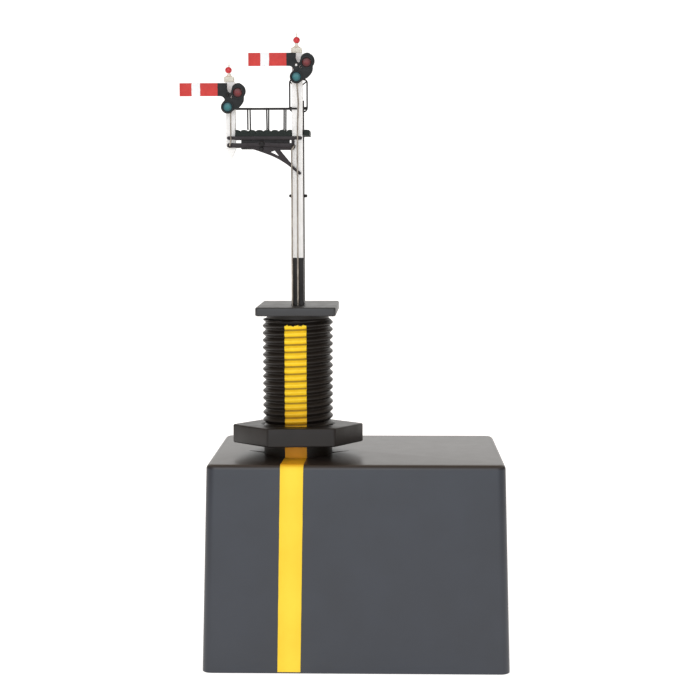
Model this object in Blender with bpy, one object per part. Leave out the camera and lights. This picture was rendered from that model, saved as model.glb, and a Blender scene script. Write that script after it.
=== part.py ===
"""Motor-driven two-arm model signal mast on a threaded mounting barrel, with its drive casing.

The frame: origin on the barrel's axis at the plane of the casing's foot, +X right, +Y rearwards, +Z up.
Sizes below are in millimetres, and meshes are scaled to metres when they are made.
"""

from math import cos, hypot, pi, radians, sin

import bmesh
import bpy
from mathutils import Matrix, Vector

MM = 0.001
GAP = 0.04  # between pieces that touch
SLIDE = 0.05  # running clearance round sliding and turning pins

# Drive casing
CASING_HEIGHT = 41.3
CASING_TOP = (-17.3, 41.35, -15.1, 23.3)  # left, right, front and rear of the top face
CASING_DRAFT = 1.08  # how far each side has moved out at the foot
WALL = 1.6
COVER_THICKNESS = 1.6
COVER_GAP = 0.15
POST_RADIUS = 2.2
SCREW_INSET = 4.4
SLOT_PLACE = (8.55, 1.25)  # middle of the right slot beside the barrel
SLOT_LENGTH = 4.0
SLOT_ANGLE = 34.0  # degrees
CABLE_PLACE = (26.0, 8.0)  # X and Z of the cable outlet in the rear wall
CABLE_HOLE_RADIUS = 2.4
STRIPE_LEFT, STRIPE_RIGHT = -2.7, 1.85
STRIPE_FOOT_SHIFT = -0.7
STRIPE_FILM = 0.08

# Threaded mounting barrel, clamp nut and top plate
THREAD_RADIUS = 7.0
THREAD_ROOT = 6.5
THREAD_PITCH = 1.47
THREAD_TURNS = 17.5
THREAD_START = 42.2
BARREL_BORE = 4.4
NECK_RADIUS = 6.3
FLANGE_RADIUS = 9.6
FLANGE_THICKNESS = 2.2
NUT_CORNER_RADIUS = 13.21
NUT_FOOT, NUT_HEAD = 43.54, 47.28
NUT_TURN = 6.4  # degrees about the barrel
NUT_LEAN = 3.45  # degrees, as it sits loose on the thread with its front raised
NUT_BORE = 7.25
NUT_EDGE = 0.3
PLATE_FOOT, PLATE_HEAD = 69.83, 71.6
PLATE_SIDES = (-8.0, 8.0, -8.0, 13.0)

# Mast, doll and their fittings
MAST_X = 0.14
MAST_HALF = 1.05
MAST_FOOT_TOP = 81.2
MAST_HEAD = 121.85
DOLL_X = -13.2
DOLL_HALF = 0.93
DOLL_FOOT, DOLL_HEAD = 102.9, 116.2
PENDANT_TIP = 100.8

# Planes from front to rear, as the Y of each layer's front and rear face
ARM_LAYER = (-2.75, -2.45)
ROD_Y = -2.1
ROCKER_LAYER = (-1.85, -1.55)
FRONT_FRAME_LAYER = (-1.45, -1.1)
REAR_FRAME_LAYER = (1.1, 1.45)
LADDER_LAYER = (1.8, 2.05)
REAR_RAIL_LAYER = (3.85, 4.1)

# Bracket
BEAM_LEFT, BEAM_RIGHT = -13.92, 1.14
UPPER_BEAM = (104.78, 105.45)
LOWER_BEAM = (103.2, 104.1)
DECK_SIDES = (-14.3, 2.65, -1.55, 4.3)
DECK_FOOT, PLANK_FOOT, DECK_HEAD = 105.5, 106.15, 106.75
PLANK_COUNT = 11
RAIL_HEAD = 111.1
REAR_RAIL_HEAD = 111.35
REAR_RAIL_RIGHT = 2.0
RAIL_WIDTH = 0.34
RAIL_POSTS = (-9.72, -5.92, -2.42)

# Signal arms, as places from the arm's pivot in X and Z
MAIN_PIVOT = (0.12, 119.38)
DOLL_PIVOT = (-13.6, 113.5)
ARM_TIP = -9.52
ARM_FOOT, ARM_TOP = -0.2, 2.38
LENS_RADIUS = 0.88
RED_LENS = (2.05, 0.5)
GREEN_LENS = (0.0, -2.32)
PIVOT_RADIUS = 0.24
HOOK_REACH = 0.9
ARM_SWING = 45.0  # degrees

# Operating rods
ROD_RADIUS = 0.14
HOOK_DROP = HOOK_REACH * sin(radians(ARM_SWING / 2)) / cos(radians(ARM_SWING / 2))
ROD_TRAVEL = 2 * HOOK_DROP
MAIN_ROD_X = 0.13
BRANCH_ROD_X = -0.92
DOLL_ROD_X = -13.05
ROCKER_PIVOT = (-6.92, 103.95)
ROCKER_LEFT = (-13.27, 103.55)
ROCKER_RIGHT = (-0.56, 103.5)

# Drive
CAM_Y = 7.5
CAM_Z = 20.0
CAM_RADIUS = 5.6
CAM_LAYER = (1.7, 3.2)
GROOVE_DEPTH = 0.8
GROOVE_START = 3.2
CAM_TURN = pi
PIN_RADIUS = 0.5
LIFTER_HEIGHT = (22.2, 24.2)
MAIN_LIFTER_LAYER = (-0.35, 1.45)
BRANCH_LIFTER_LAYER = (-1.6, -0.5)
SHAFT_RADIUS = 1.5
CHASSIS_LAYER = (3.8, 5.3)

BLACK_PLASTIC = ("black_plastic", (0.035, 0.036, 0.04), 0.45, 0.0)
NUT_PLASTIC = ("nut_plastic", (0.04, 0.037, 0.036), 0.4, 0.0)
BARREL_PLASTIC = ("barrel_plastic", (0.02, 0.02, 0.02), 0.35, 0.0)
YELLOW_FILM = ("yellow_film", (1.0, 0.68, 0.03), 0.4, 0.0)
WHITE_PAINT = ("white_paint", (0.85, 0.85, 0.83), 0.5, 0.0)
BLACK_PAINT = ("black_paint", (0.02, 0.02, 0.022), 0.45, 0.0)
DECK_PAINT = ("deck_paint", (0.03, 0.035, 0.033), 0.7, 0.0)
RED_PAINT = ("red_paint", (0.72, 0.06, 0.06), 0.5, 0.0)
CREAM_PAINT = ("cream_paint", (0.78, 0.75, 0.62), 0.5, 0.0)
RED_LENS_GLASS = ("red_lens", (0.25, 0.02, 0.03), 0.15, 0.0)
GREEN_LENS_GLASS = ("green_lens", (0.05, 0.3, 0.28), 0.15, 0.0)
WIRE_METAL = ("wire_metal", (0.55, 0.53, 0.48), 0.35, 1.0)
STEEL = ("steel", (0.5, 0.5, 0.52), 0.35, 1.0)
CAN_METAL = ("can_metal", (0.6, 0.6, 0.62), 0.4, 1.0)
WHITE_NYLON = ("white_nylon", (0.8, 0.79, 0.75), 0.5, 0.0)
BOARD_GREEN = ("board_green", (0.02, 0.16, 0.06), 0.5, 0.0)
GROMMET_RUBBER = ("grommet_rubber", (0.02, 0.02, 0.02), 0.8, 0.0)


# ---------------------------------------------------------------- tools


def material(spec):
    """The Principled BSDF material of that name, made once."""
    name, colour, roughness, metallic = spec
    found = bpy.data.materials.get(name)
    if found:
        return found
    made = bpy.data.materials.new(name)
    made.use_nodes = True
    made.diffuse_color = (*colour, 1.0)
    shader = made.node_tree.nodes["Principled BSDF"]
    shader.inputs["Base Color"].default_value = (*colour, 1.0)
    shader.inputs["Roughness"].default_value = roughness
    shader.inputs["Metallic"].default_value = metallic
    return made


def empty(name, place=(0, 0, 0), parent=None):
    """An empty that a group of pieces is parented to. Place is in millimetres, in the model's frame."""
    made = bpy.data.objects.new(name, None)
    bpy.context.scene.collection.objects.link(made)
    made.location = Vector(place) * MM
    if parent:
        made.parent = parent
        made.location -= parent.matrix_world.translation
    bpy.context.view_layer.update()
    return made


def node(name, mesh, spec, parent=None, origin=(0, 0, 0), smooth=True):
    """A named object from a bmesh in millimetres, with its origin at a point of the model's frame."""
    shift = Vector(origin)
    bmesh.ops.translate(mesh, verts=mesh.verts, vec=-shift)
    bmesh.ops.scale(mesh, verts=mesh.verts, vec=(MM, MM, MM))
    bmesh.ops.recalc_face_normals(mesh, faces=mesh.faces)
    data = bpy.data.meshes.new(name)
    mesh.to_mesh(data)
    mesh.free()
    data.materials.append(material(spec))
    if smooth:
        data.shade_smooth()
        data.set_sharp_from_angle(angle=radians(35))
    made = bpy.data.objects.new(name, data)
    bpy.context.scene.collection.objects.link(made)
    made.location = shift * MM
    if parent:
        made.parent = parent
        made.location -= parent.matrix_world.translation
    bpy.context.view_layer.update()
    return made


def cutter(name, mesh):
    """A guide for a Boolean: hidden, drawn as wire, and left out of the model."""
    made = node(name, mesh, STEEL, smooth=False)
    made.hide_render = True
    made.display_type = "WIRE"
    return made


def boolean(target, tool, operation="DIFFERENCE"):
    """Adds a Boolean modifier to the target. A united tool is hidden as a cutter is."""
    modifier = target.modifiers.new(tool.name, "BOOLEAN")
    modifier.operation = operation
    modifier.solver = "EXACT"
    modifier.object = tool
    return target


def place_on(plane, first, second, depth):
    """The point at two coordinates in a plane and a depth along its normal."""
    if plane == "XZ":
        return Vector((first, depth, second))
    if plane == "YZ":
        return Vector((depth, first, second))
    return Vector((first, second, depth))


def prism(loops, layer, plane="XZ"):
    """A plate between two depths. The first loop is its outline, and the others are its openings."""
    mesh = bmesh.new()
    edges = []
    for loop in loops:
        corners = [mesh.verts.new(place_on(plane, a, b, layer[0])) for a, b in loop]
        for i, corner in enumerate(corners):
            edges.append(mesh.edges.new((corner, corners[i - 1])))
    bmesh.ops.triangle_fill(mesh, use_beauty=True, edges=edges)
    raised = bmesh.ops.extrude_face_region(mesh, geom=mesh.faces[:])
    top = [item for item in raised["geom"] if isinstance(item, bmesh.types.BMVert)]
    bmesh.ops.translate(mesh, verts=top, vec=place_on(plane, 0, 0, layer[1] - layer[0]))
    bmesh.ops.recalc_face_normals(mesh, faces=mesh.faces)
    return mesh


def rectangle(left, right, low, high):
    return [(left, low), (right, low), (right, high), (left, high)]


def circle(centre, radius, segments=16, start=0.0):
    turns = [start + 2 * pi * i / segments for i in range(segments)]
    return [(centre[0] + radius * cos(a), centre[1] + radius * sin(a)) for a in turns]


def arc(centre, radius, first, last, steps):
    """Points from one angle to another, in degrees."""
    turns = [radians(first + (last - first) * i / steps) for i in range(steps + 1)]
    return [(centre[0] + radius * cos(a), centre[1] + radius * sin(a)) for a in turns]


def block(left, right, front, rear, low, high, bevel=0.0, segments=1):
    """A box, with its edges bevelled if a width is given."""
    mesh = prism([rectangle(left, right, low, high)], (front, rear))
    bmesh.ops.dissolve_limit(mesh, angle_limit=0.01, verts=mesh.verts, edges=mesh.edges)
    if bevel:
        bmesh.ops.bevel(
            mesh, geom=mesh.edges[:], offset=bevel, segments=segments, profile=0.5, affect="EDGES"
        )
    return mesh


def turned(profile, centre=(0, 0, 0), axis="Z", segments=24):
    """A turned piece from (radius, height) points along an axis. A radius of 0 closes it on the axis."""
    mesh = bmesh.new()
    rings = []
    for radius, height in profile:
        if radius == 0:
            rings.append([mesh.verts.new((0, 0, height))])
            continue
        rings.append([mesh.verts.new((*p, height)) for p in circle((0, 0), radius, segments)])
    closed = profile[0][0] > 0
    pairs = list(zip(rings, rings[1:] + rings[:1])) if closed else list(zip(rings, rings[1:]))
    for low, high in pairs:
        for i in range(segments):
            j = (i + 1) % segments
            corners = [low[i % len(low)], low[j % len(low)], high[j % len(high)], high[i % len(high)]]
            mesh.faces.new(list(dict.fromkeys(corners)))
    if axis == "X":
        bmesh.ops.rotate(mesh, verts=mesh.verts, matrix=Matrix.Rotation(pi / 2, 3, "Y"))
    if axis == "Y":
        bmesh.ops.rotate(mesh, verts=mesh.verts, matrix=Matrix.Rotation(-pi / 2, 3, "X"))
    bmesh.ops.translate(mesh, verts=mesh.verts, vec=centre)
    bmesh.ops.recalc_face_normals(mesh, faces=mesh.faces)
    return mesh


def pin(radius, length, centre, axis="Z", segments=16, chamfer=0.0):
    """A solid cylinder from its centre point along an axis."""
    ends = [(0, 0), (radius - chamfer, 0), (radius, chamfer), (radius, length - chamfer)]
    ends += [(radius - chamfer, length), (0, length)]
    profile = [p for i, p in enumerate(ends) if i == 0 or p != ends[i - 1]]
    return turned(profile, centre, axis, segments)


def headed_pin(radius, head_radius, head_front, shank_rear, head_depth, place, segments=16):
    """A round-headed pin along +Y, from its head's front face to its shank's rear end."""
    neck = head_depth
    length = shank_rear - head_front
    profile = [(0, 0), (head_radius * 0.6, 0), (head_radius, neck * 0.5), (head_radius, neck)]
    profile += [(radius, neck), (radius, length), (0, length)]
    return turned(profile, (place[0], head_front, place[1]), "Y", segments)


def tube(inner, outer, low, high, centre=(0, 0), segments=32):
    profile = [(inner, low), (outer, low), (outer, high), (inner, high)]
    return turned(profile, (*centre, 0), "Z", segments)


def wire(path, radius, sides=8):
    """A round wire along a path of points, mitred at its bends, with flat ends."""
    points = [Vector(p) for p in path]
    runs = [(b - a).normalized() for a, b in zip(points, points[1:])]
    mesh = bmesh.new()
    side = runs[0].orthogonal().normalized()
    rings = []
    for i, point in enumerate(points):
        before = runs[max(i - 1, 0)]
        after = runs[min(i, len(runs) - 1)]
        normal = (before + after).normalized()
        side = (side - before * side.dot(before)).normalized()
        up = before.cross(side)
        ring = []
        for k in range(sides):
            offset = (side * cos(2 * pi * k / sides) + up * sin(2 * pi * k / sides)) * radius
            slide = -offset.dot(normal) / before.dot(normal)
            ring.append(mesh.verts.new(point + offset + before * slide))
        rings.append(ring)
    for low, high in zip(rings, rings[1:]):
        for k in range(sides):
            j = (k + 1) % sides
            mesh.faces.new((low[k], low[j], high[j], high[k]))
    mesh.faces.new(rings[0])
    mesh.faces.new(rings[-1])
    bmesh.ops.recalc_face_normals(mesh, faces=mesh.faces)
    return mesh


# ---------------------------------------------------------------- casing


def drafted_box(top, low, high, draft_low, draft_high, corner=0.0, rim=0.0):
    """A box with sloping sides. Each draft is how far the sides stand out from the top face's outline."""
    mesh = bmesh.new()
    left, right, front, rear = top
    rings = []
    for height, out in ((low, draft_low), (high, draft_high)):
        outline = rectangle(left - out, right + out, front - out, rear + out)
        rings.append([mesh.verts.new((x, y, height)) for x, y in outline])
    for i in range(4):
        j = (i + 1) % 4
        mesh.faces.new((rings[0][i], rings[0][j], rings[1][j], rings[1][i]))
    mesh.faces.new(rings[0])
    mesh.faces.new(rings[1])
    bmesh.ops.recalc_face_normals(mesh, faces=mesh.faces)
    if corner:
        uprights = [e for e in mesh.edges if abs(e.verts[0].co.z - e.verts[1].co.z) > 1]
        bmesh.ops.bevel(mesh, geom=uprights, offset=corner, segments=4, profile=0.5, affect="EDGES")
    if rim:
        top_edges = [e for e in mesh.edges if all(abs(v.co.z - high) < 0.001 for v in e.verts)]
        bmesh.ops.bevel(mesh, geom=top_edges, offset=rim, segments=2, profile=0.5, affect="EDGES")
    return mesh


def draft_at(height):
    """How far the casing's sides stand out from the top outline at a height."""
    return CASING_DRAFT * (1 - height / CASING_HEIGHT)


def post_places():
    left, right, front, rear = CASING_TOP
    return [
        (x, y)
        for x in (left + SCREW_INSET, right - SCREW_INSET)
        for y in (front + SCREW_INSET, rear - SCREW_INSET)
    ]


def build_casing():
    casing = node(
        "casing",
        drafted_box(CASING_TOP, 0, CASING_HEIGHT, CASING_DRAFT, 0, corner=1.4, rim=0.45),
        BLACK_PLASTIC,
    )
    roof = CASING_HEIGHT - WALL
    hollow = drafted_box(CASING_TOP, -1, roof, CASING_DRAFT - WALL, -WALL, corner=0.2)
    boolean(casing, cutter("casing_hollow", hollow))
    for i, (x, y) in enumerate(post_places()):
        post = pin(POST_RADIUS, roof + 0.5 - (COVER_THICKNESS + GAP), (x, y, COVER_THICKNESS + GAP))
        boolean(casing, cutter(f"casing_post_{i}", post), "UNION")
        pilot = pin(0.75, 9.0, (x, y, 0), segments=12)
        boolean(casing, cutter(f"casing_pilot_{i}", pilot))
    barrel_hole = pin(THREAD_ROOT + 0.5, 5, (0, 0, roof - 1), segments=40)
    boolean(casing, cutter("casing_barrel_hole", barrel_hole))
    for side, sign in (("left", -1), ("right", 1)):
        slot = block(-SLOT_LENGTH / 2, SLOT_LENGTH / 2, -0.2, 0.2, roof - 1, CASING_HEIGHT + 1)
        turn = Matrix.Rotation(radians(sign * SLOT_ANGLE), 3, "Z")
        bmesh.ops.rotate(slot, verts=slot.verts, matrix=turn)
        bmesh.ops.translate(slot, verts=slot.verts, vec=(sign * SLOT_PLACE[0], SLOT_PLACE[1], 0))
        boolean(casing, cutter(f"casing_slot_{side}", slot))
    x, z = CABLE_PLACE
    rear = CASING_TOP[3]
    outlet = pin(CABLE_HOLE_RADIUS, 8, (x, rear - 4, z), "Y", segments=20)
    boolean(casing, cutter("casing_cable_hole", outlet))


def build_cover():
    left, right, front, rear = CASING_TOP
    inset = WALL + COVER_GAP - draft_at(0)
    cover = node(
        "bottom_cover",
        block(left + inset, right - inset, front + inset, rear - inset, 0, COVER_THICKNESS),
        BLACK_PLASTIC,
        smooth=False,
    )
    for i, (x, y) in enumerate(post_places()):
        profile = [(0, -1), (1.6, -1), (1.6, 0.7), (0.95, 1.2), (0.95, 3), (0, 3)]
        sink = turned(profile, (x, y, 0), segments=16)
        boolean(cover, cutter(f"cover_sink_{i}", sink))
        screw = [(0, 0.15), (1.45, 0.15), (1.45, 0.65), (0.68, 1.2), (0.68, 7.5), (0, 8.2)]
        node(f"cover_screw_{i + 1}", turned(screw, (x, y, 0), segments=12), STEEL)


def build_grommet():
    x, z = CABLE_PLACE
    rear = CASING_TOP[3] + draft_at(z)
    tilt = 0.12  # the sloping wall leans this far across the flange
    profile = [
        (1.5, -WALL - 1.2),
        (3.2, -WALL - 1.2),
        (3.2, -WALL - tilt),
        (CABLE_HOLE_RADIUS - 0.1, -WALL - tilt),
        (CABLE_HOLE_RADIUS - 0.1, tilt),
        (3.2, tilt),
        (3.0, 1.1),
        (1.5, 1.1),
    ]
    node("cable_grommet", turned(profile, (x, rear, z), "Y", 20), GROMMET_RUBBER)


def build_stripe():
    """A thin film over the casing's front face, its rounded upper edge and its top face."""
    front = CASING_TOP[2]
    rim = 0.45
    line = [(front - draft_at(0.3), 0.3)]
    line += [(front - draft_at(CASING_HEIGHT - 1), CASING_HEIGHT - 1)]
    line += arc((front + rim, CASING_HEIGHT - rim), rim, 180, 90, 4)
    line += [(-NECK_RADIUS - 1.1, CASING_HEIGHT)]
    mesh = bmesh.new()
    rows = []
    for i, (y, z) in enumerate(line):
        before = Vector(line[max(i - 1, 0)])
        after = Vector(line[min(i + 1, len(line) - 1)])
        along = (after - before).normalized()
        out = Vector((-along.y, along.x))
        lean = STRIPE_FOOT_SHIFT * (1 - z / CASING_HEIGHT)
        near = Vector((y, z)) + out * GAP
        far = near + out * STRIPE_FILM
        left, right = STRIPE_LEFT + lean, STRIPE_RIGHT + lean
        places = ((left, *near), (right, *near), (right, *far), (left, *far))
        rows.append([mesh.verts.new(p) for p in places])
    for low, high in zip(rows, rows[1:]):
        for k in range(4):
            j = (k + 1) % 4
            mesh.faces.new((low[k], low[j], high[j], high[k]))
    mesh.faces.new(rows[0])
    mesh.faces.new(rows[-1])
    node("casing_stripe", mesh, YELLOW_FILM, smooth=False)


# ---------------------------------------------------------------- barrel


def threaded_tube(segments=24):
    """A tube with a right-hand thread. Each strip of the helix has a root and two crests."""
    mesh = bmesh.new()
    count = int(segments * THREAD_TURNS)

    def helix(step, radius, rise):
        turn = 2 * pi * step / segments
        height = THREAD_START + THREAD_PITCH * (step / segments + rise)
        return mesh.verts.new((radius * cos(turn), radius * sin(turn), height))

    roots = [helix(i, THREAD_ROOT, 0.0) for i in range(count + segments + 1)]
    lower = [helix(i, THREAD_RADIUS, 0.36) for i in range(count + 1)]
    upper = [helix(i, THREAD_RADIUS, 0.64) for i in range(count + 1)]
    for i in range(count):
        mesh.faces.new((roots[i], roots[i + 1], lower[i + 1], lower[i]))
        mesh.faces.new((lower[i], lower[i + 1], upper[i + 1], upper[i]))
        mesh.faces.new((upper[i], upper[i + 1], roots[i + 1 + segments], roots[i + segments]))

    def ring(radius, height, first=0):
        turns = [2 * pi * (first + k) / segments for k in range(segments)]
        return [mesh.verts.new((radius * cos(a), radius * sin(a), height)) for a in turns]

    def bridge(low, high):
        for k in range(len(low)):
            j = (k + 1) % len(low)
            mesh.faces.new((low[k], low[j], high[j], high[k]))

    # The foot: from the thread's first turn down to the flange inside the casing
    roof = CASING_HEIGHT - WALL
    below = ring(NECK_RADIUS, THREAD_START - 0.5)
    for k in range(segments - 1):
        mesh.faces.new((below[k], below[k + 1], roots[k + 1], roots[k]))
    mesh.faces.new((below[-1], below[0], roots[segments], roots[segments - 1]))
    mesh.faces.new((below[0], roots[0], lower[0], upper[0], roots[segments]))
    rings = [
        ring(THREAD_ROOT + 0.3, THREAD_START - 0.8),
        ring(THREAD_ROOT + 0.3, roof - GAP),
        ring(FLANGE_RADIUS, roof - GAP),
        ring(FLANGE_RADIUS, roof - FLANGE_THICKNESS),
        ring(BARREL_BORE, roof - FLANGE_THICKNESS),
    ]
    bridge(rings[0], below)
    for low, high in zip(rings[1:], rings):
        bridge(low, high)
    # The head: a plain neck under the top plate
    first = count % segments
    above = ring(NECK_RADIUS, PLATE_FOOT - GAP, first)
    bore = ring(BARREL_BORE, PLATE_FOOT - GAP, first)
    last = roots[count : count + segments + 1]
    for k in range(segments - 1):
        mesh.faces.new((last[k], last[k + 1], above[k + 1], above[k]))
    mesh.faces.new((last[segments - 1], last[segments], above[0], above[-1]))
    mesh.faces.new((above[0], last[segments], upper[-1], lower[-1], last[0]))
    bridge(above, bore)
    inner = rings[-1]
    for k in range(segments):
        j = (k + 1) % segments
        a, b = (first + k) % segments, (first + k + 1) % segments
        mesh.faces.new((inner[a], bore[k], bore[j], inner[b]))
    bmesh.ops.triangulate(mesh, faces=[f for f in mesh.faces if len(f.verts) > 4])
    return mesh


def build_barrel():
    node("threaded_barrel", threaded_tube(), BARREL_PLASTIC)
    hexagon = circle((0, 0), NUT_CORNER_RADIUS, 6, radians(NUT_TURN))
    bore = circle((0, 0), NUT_BORE, 48)
    half_height = (NUT_HEAD - NUT_FOOT) / 2
    nut = prism([hexagon, bore], (-half_height, half_height), "XY")
    rims = [
        e
        for e in nut.edges
        if all(hypot(v.co.x, v.co.y) > NUT_BORE + 1 for v in e.verts)
        and len(e.link_faces) == 2
        and e.calc_face_angle(0) > 0.5
    ]
    bmesh.ops.bevel(nut, geom=rims, offset=NUT_EDGE, segments=2, profile=0.5, affect="EDGES")
    bmesh.ops.rotate(nut, verts=nut.verts, matrix=Matrix.Rotation(radians(-NUT_LEAN), 3, "X"))
    bmesh.ops.translate(nut, verts=nut.verts, vec=(0, 0, NUT_FOOT + half_height))
    node("clamp_nut", nut, NUT_PLASTIC, empty("clamp_nut_slide", (0, 0, NUT_FOOT)))
    left, right, front, rear = PLATE_SIDES
    plate = node(
        "top_plate",
        block(left, right, front, rear, PLATE_FOOT, PLATE_HEAD, bevel=0.2),
        BLACK_PLASTIC,
    )
    for name, x in (("main", MAIN_ROD_X), ("branch", BRANCH_ROD_X)):
        hole = pin(ROD_RADIUS + 0.11, 5, (x, ROD_Y, PLATE_FOOT - 1), segments=12)
        boolean(plate, cutter(f"plate_hole_{name}", hole))


# ---------------------------------------------------------------- drive inside the casing


def cam_groove(rising):
    """The outline of a groove whose radius changes evenly with the cam's turn, seen along -X."""
    margin = radians(14)
    rate = ROD_TRAVEL / CAM_TURN
    half = PIN_RADIUS + SLIDE
    steps = 30
    inner, outer = [], []
    for i in range(steps + 1):
        turned_by = -margin + (CAM_TURN + 2 * margin) * i / steps
        radius = GROOVE_START + (rate if rising else -rate) * turned_by
        angle = pi / 2 - turned_by
        inner.append(((radius - half) * cos(angle), (radius - half) * sin(angle)))
        outer.append(((radius + half) * cos(angle), (radius + half) * sin(angle)))
    return inner + outer[::-1]


def build_cam(name, y, rising):
    axis = empty(f"cam_{name}_axis", (0, y, CAM_Z))
    disc = tube(SHAFT_RADIUS + 0.03, CAM_RADIUS, 0, CAM_LAYER[1] - CAM_LAYER[0], segments=36)
    bmesh.ops.rotate(disc, verts=disc.verts, matrix=Matrix.Rotation(pi / 2, 3, "Y"))
    bmesh.ops.translate(disc, verts=disc.verts, vec=(CAM_LAYER[0], y, CAM_Z))
    cam = node(f"drive_cam_{name}", disc, WHITE_NYLON, axis, (CAM_LAYER[0], y, CAM_Z))
    outline = [(y + a, CAM_Z + b) for a, b in cam_groove(rising)]
    groove = prism([outline], (CAM_LAYER[0] - 1, CAM_LAYER[0] + GROOVE_DEPTH), "YZ")
    boolean(cam, cutter(f"cam_groove_{name}", groove))
    shaft = pin(SHAFT_RADIUS, 7.2, (1.4, y, CAM_Z), "X", 20, chamfer=0.2)
    node(f"motor_shaft_{name}", shaft, STEEL, axis, (1.4, y, CAM_Z))


def build_gearmotor(name, y):
    """A gearbox block with a flat-sided round motor behind it, sealed as one bought unit."""
    front = CHASSIS_LAYER[1] + GAP
    box = block(front, front + 9, y - 6, y + 6, CAM_Z - 5, CAM_Z + 5, bevel=0.3)
    motor = node(f"gearmotor_{name}", box, CAN_METAL, smooth=False)
    can = turned([(0, 0), (6, 0), (6, 14), (5.2, 15), (0, 15)], (front + 8.5, y, CAM_Z), "X", 24)
    for v in can.verts:
        v.co.z = CAM_Z + max(-4.95, min(4.95, v.co.z - CAM_Z))
    bmesh.ops.remove_doubles(can, verts=can.verts, dist=0.001)
    boolean(motor, cutter(f"motor_can_{name}", can), "UNION")
    seat = pin(SHAFT_RADIUS + SLIDE, 4, (front - 0.5, y, CAM_Z), "X", 24)
    boolean(motor, cutter(f"motor_seat_{name}", seat))


def build_lifters():
    """Each lifter has a pin in its cam's groove and carries the lower end of one operating rod."""
    pin_z = CAM_Z + GROOVE_START
    low, high = LIFTER_HEIGHT
    layers = {"main": MAIN_LIFTER_LAYER, "branch": BRANCH_LIFTER_LAYER}
    reaches = {"main": (-CAM_Y - 1.1, ROD_Y + 0.75), "branch": (ROD_Y - 0.75, CAM_Y + 1.1)}
    pins = {"main": -CAM_Y, "branch": CAM_Y}
    rods = {"main": MAIN_ROD_X, "branch": BRANCH_ROD_X}
    for name, layer in layers.items():
        slide = empty(f"{name}_rod_slide", (rods[name], ROD_Y, low))
        bar = block(*layer, *reaches[name], low, high)
        lifter = node(f"lifter_{name}", bar, WHITE_NYLON, slide, (rods[name], ROD_Y, low))
        reach = CAM_LAYER[0] + GROOVE_DEPTH - 0.1 - (layer[1] - 0.5)
        follower = pin(PIN_RADIUS, reach, (layer[1] - 0.5, pins[name], pin_z), "X", 20)
        boolean(lifter, cutter(f"lifter_pin_{name}", follower), "UNION")
        socket = pin(ROD_RADIUS + 0.03, 3, (rods[name], ROD_Y, high - 1.2), segments=12)
        boolean(lifter, cutter(f"lifter_socket_{name}", socket))


def build_drive():
    chassis_outline = rectangle(-12.6, 19.8, COVER_THICKNESS + GAP, 34.0)
    bearings = [circle((y, CAM_Z), SHAFT_RADIUS + 0.1, 20) for y in (-CAM_Y, CAM_Y)]
    chassis = prism([chassis_outline, *bearings], CHASSIS_LAYER, "YZ")
    node("drive_chassis", chassis, BLACK_PLASTIC, smooth=False)
    for name, y, rising in (("main", -CAM_Y, True), ("branch", CAM_Y, False)):
        build_cam(name, y, rising)
        build_gearmotor(name, y)
        switch = block(-10.1, -6.6, y - 3.2, y + 3.2, CAM_Z - 2, CAM_Z + 2, bevel=0.2)
        node(f"limit_switch_{name}", switch, BLACK_PLASTIC, smooth=False)
    build_lifters()
    guide_holes = [circle((x, ROD_Y), ROD_RADIUS + 0.06, 12) for x in (MAIN_ROD_X, BRANCH_ROD_X)]
    guide = prism([circle((0, 0), BARREL_BORE - 0.12, 32), *guide_holes], (40.0, 42.0), "XY")
    node("rod_guide", guide, WHITE_NYLON)
    node("circuit_board", block(31.2, 32.8, -11.5, 19.0, 4.0, 36.0), BOARD_GREEN, smooth=False)
    for i, y in enumerate((-5.0, 3.0)):
        capacitor = pin(2.5, 7.0, (31.1 - 7.0, y, 32.5), "X", 20, chamfer=0.3)
        node(f"capacitor_{i + 1}", capacitor, CAN_METAL)
    node("control_chip", block(29.2, 31.1, 4.5, 14.5, 6.0, 13.0), BLACK_PLASTIC, smooth=False)


# ---------------------------------------------------------------- mast, doll and bracket


def square_post(x, half, low, high, tip=None):
    """A square post with small chamfers. A tip height gives it a pointed lower end."""
    chamfer = half * 0.08
    outline = []
    for sx, sy in ((1, 1), (-1, 1), (-1, -1), (1, -1)):
        first = (sx * half, sy * (half - chamfer))
        second = (sx * (half - chamfer), sy * half)
        outline += [first, second] if sx == sy else [second, first]
    outline = [(x + a, b) for a, b in outline]
    mesh = prism([outline], (low, high), "XY")
    if tip is not None:
        foot = [v for v in mesh.verts if abs(v.co.z - low) < 0.001]
        faces = [f for f in mesh.faces if all(v in foot for v in f.verts)]
        bmesh.ops.dissolve_faces(mesh, faces=faces)
        face = next(f for f in mesh.faces if all(v in foot for v in f.verts))
        bmesh.ops.poke(mesh, faces=[face])
        apex = next(v for v in mesh.verts if len(v.link_edges) == len(outline) and abs(v.co.z - low) < 0.01)
        apex.co.z = tip
    return mesh


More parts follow.
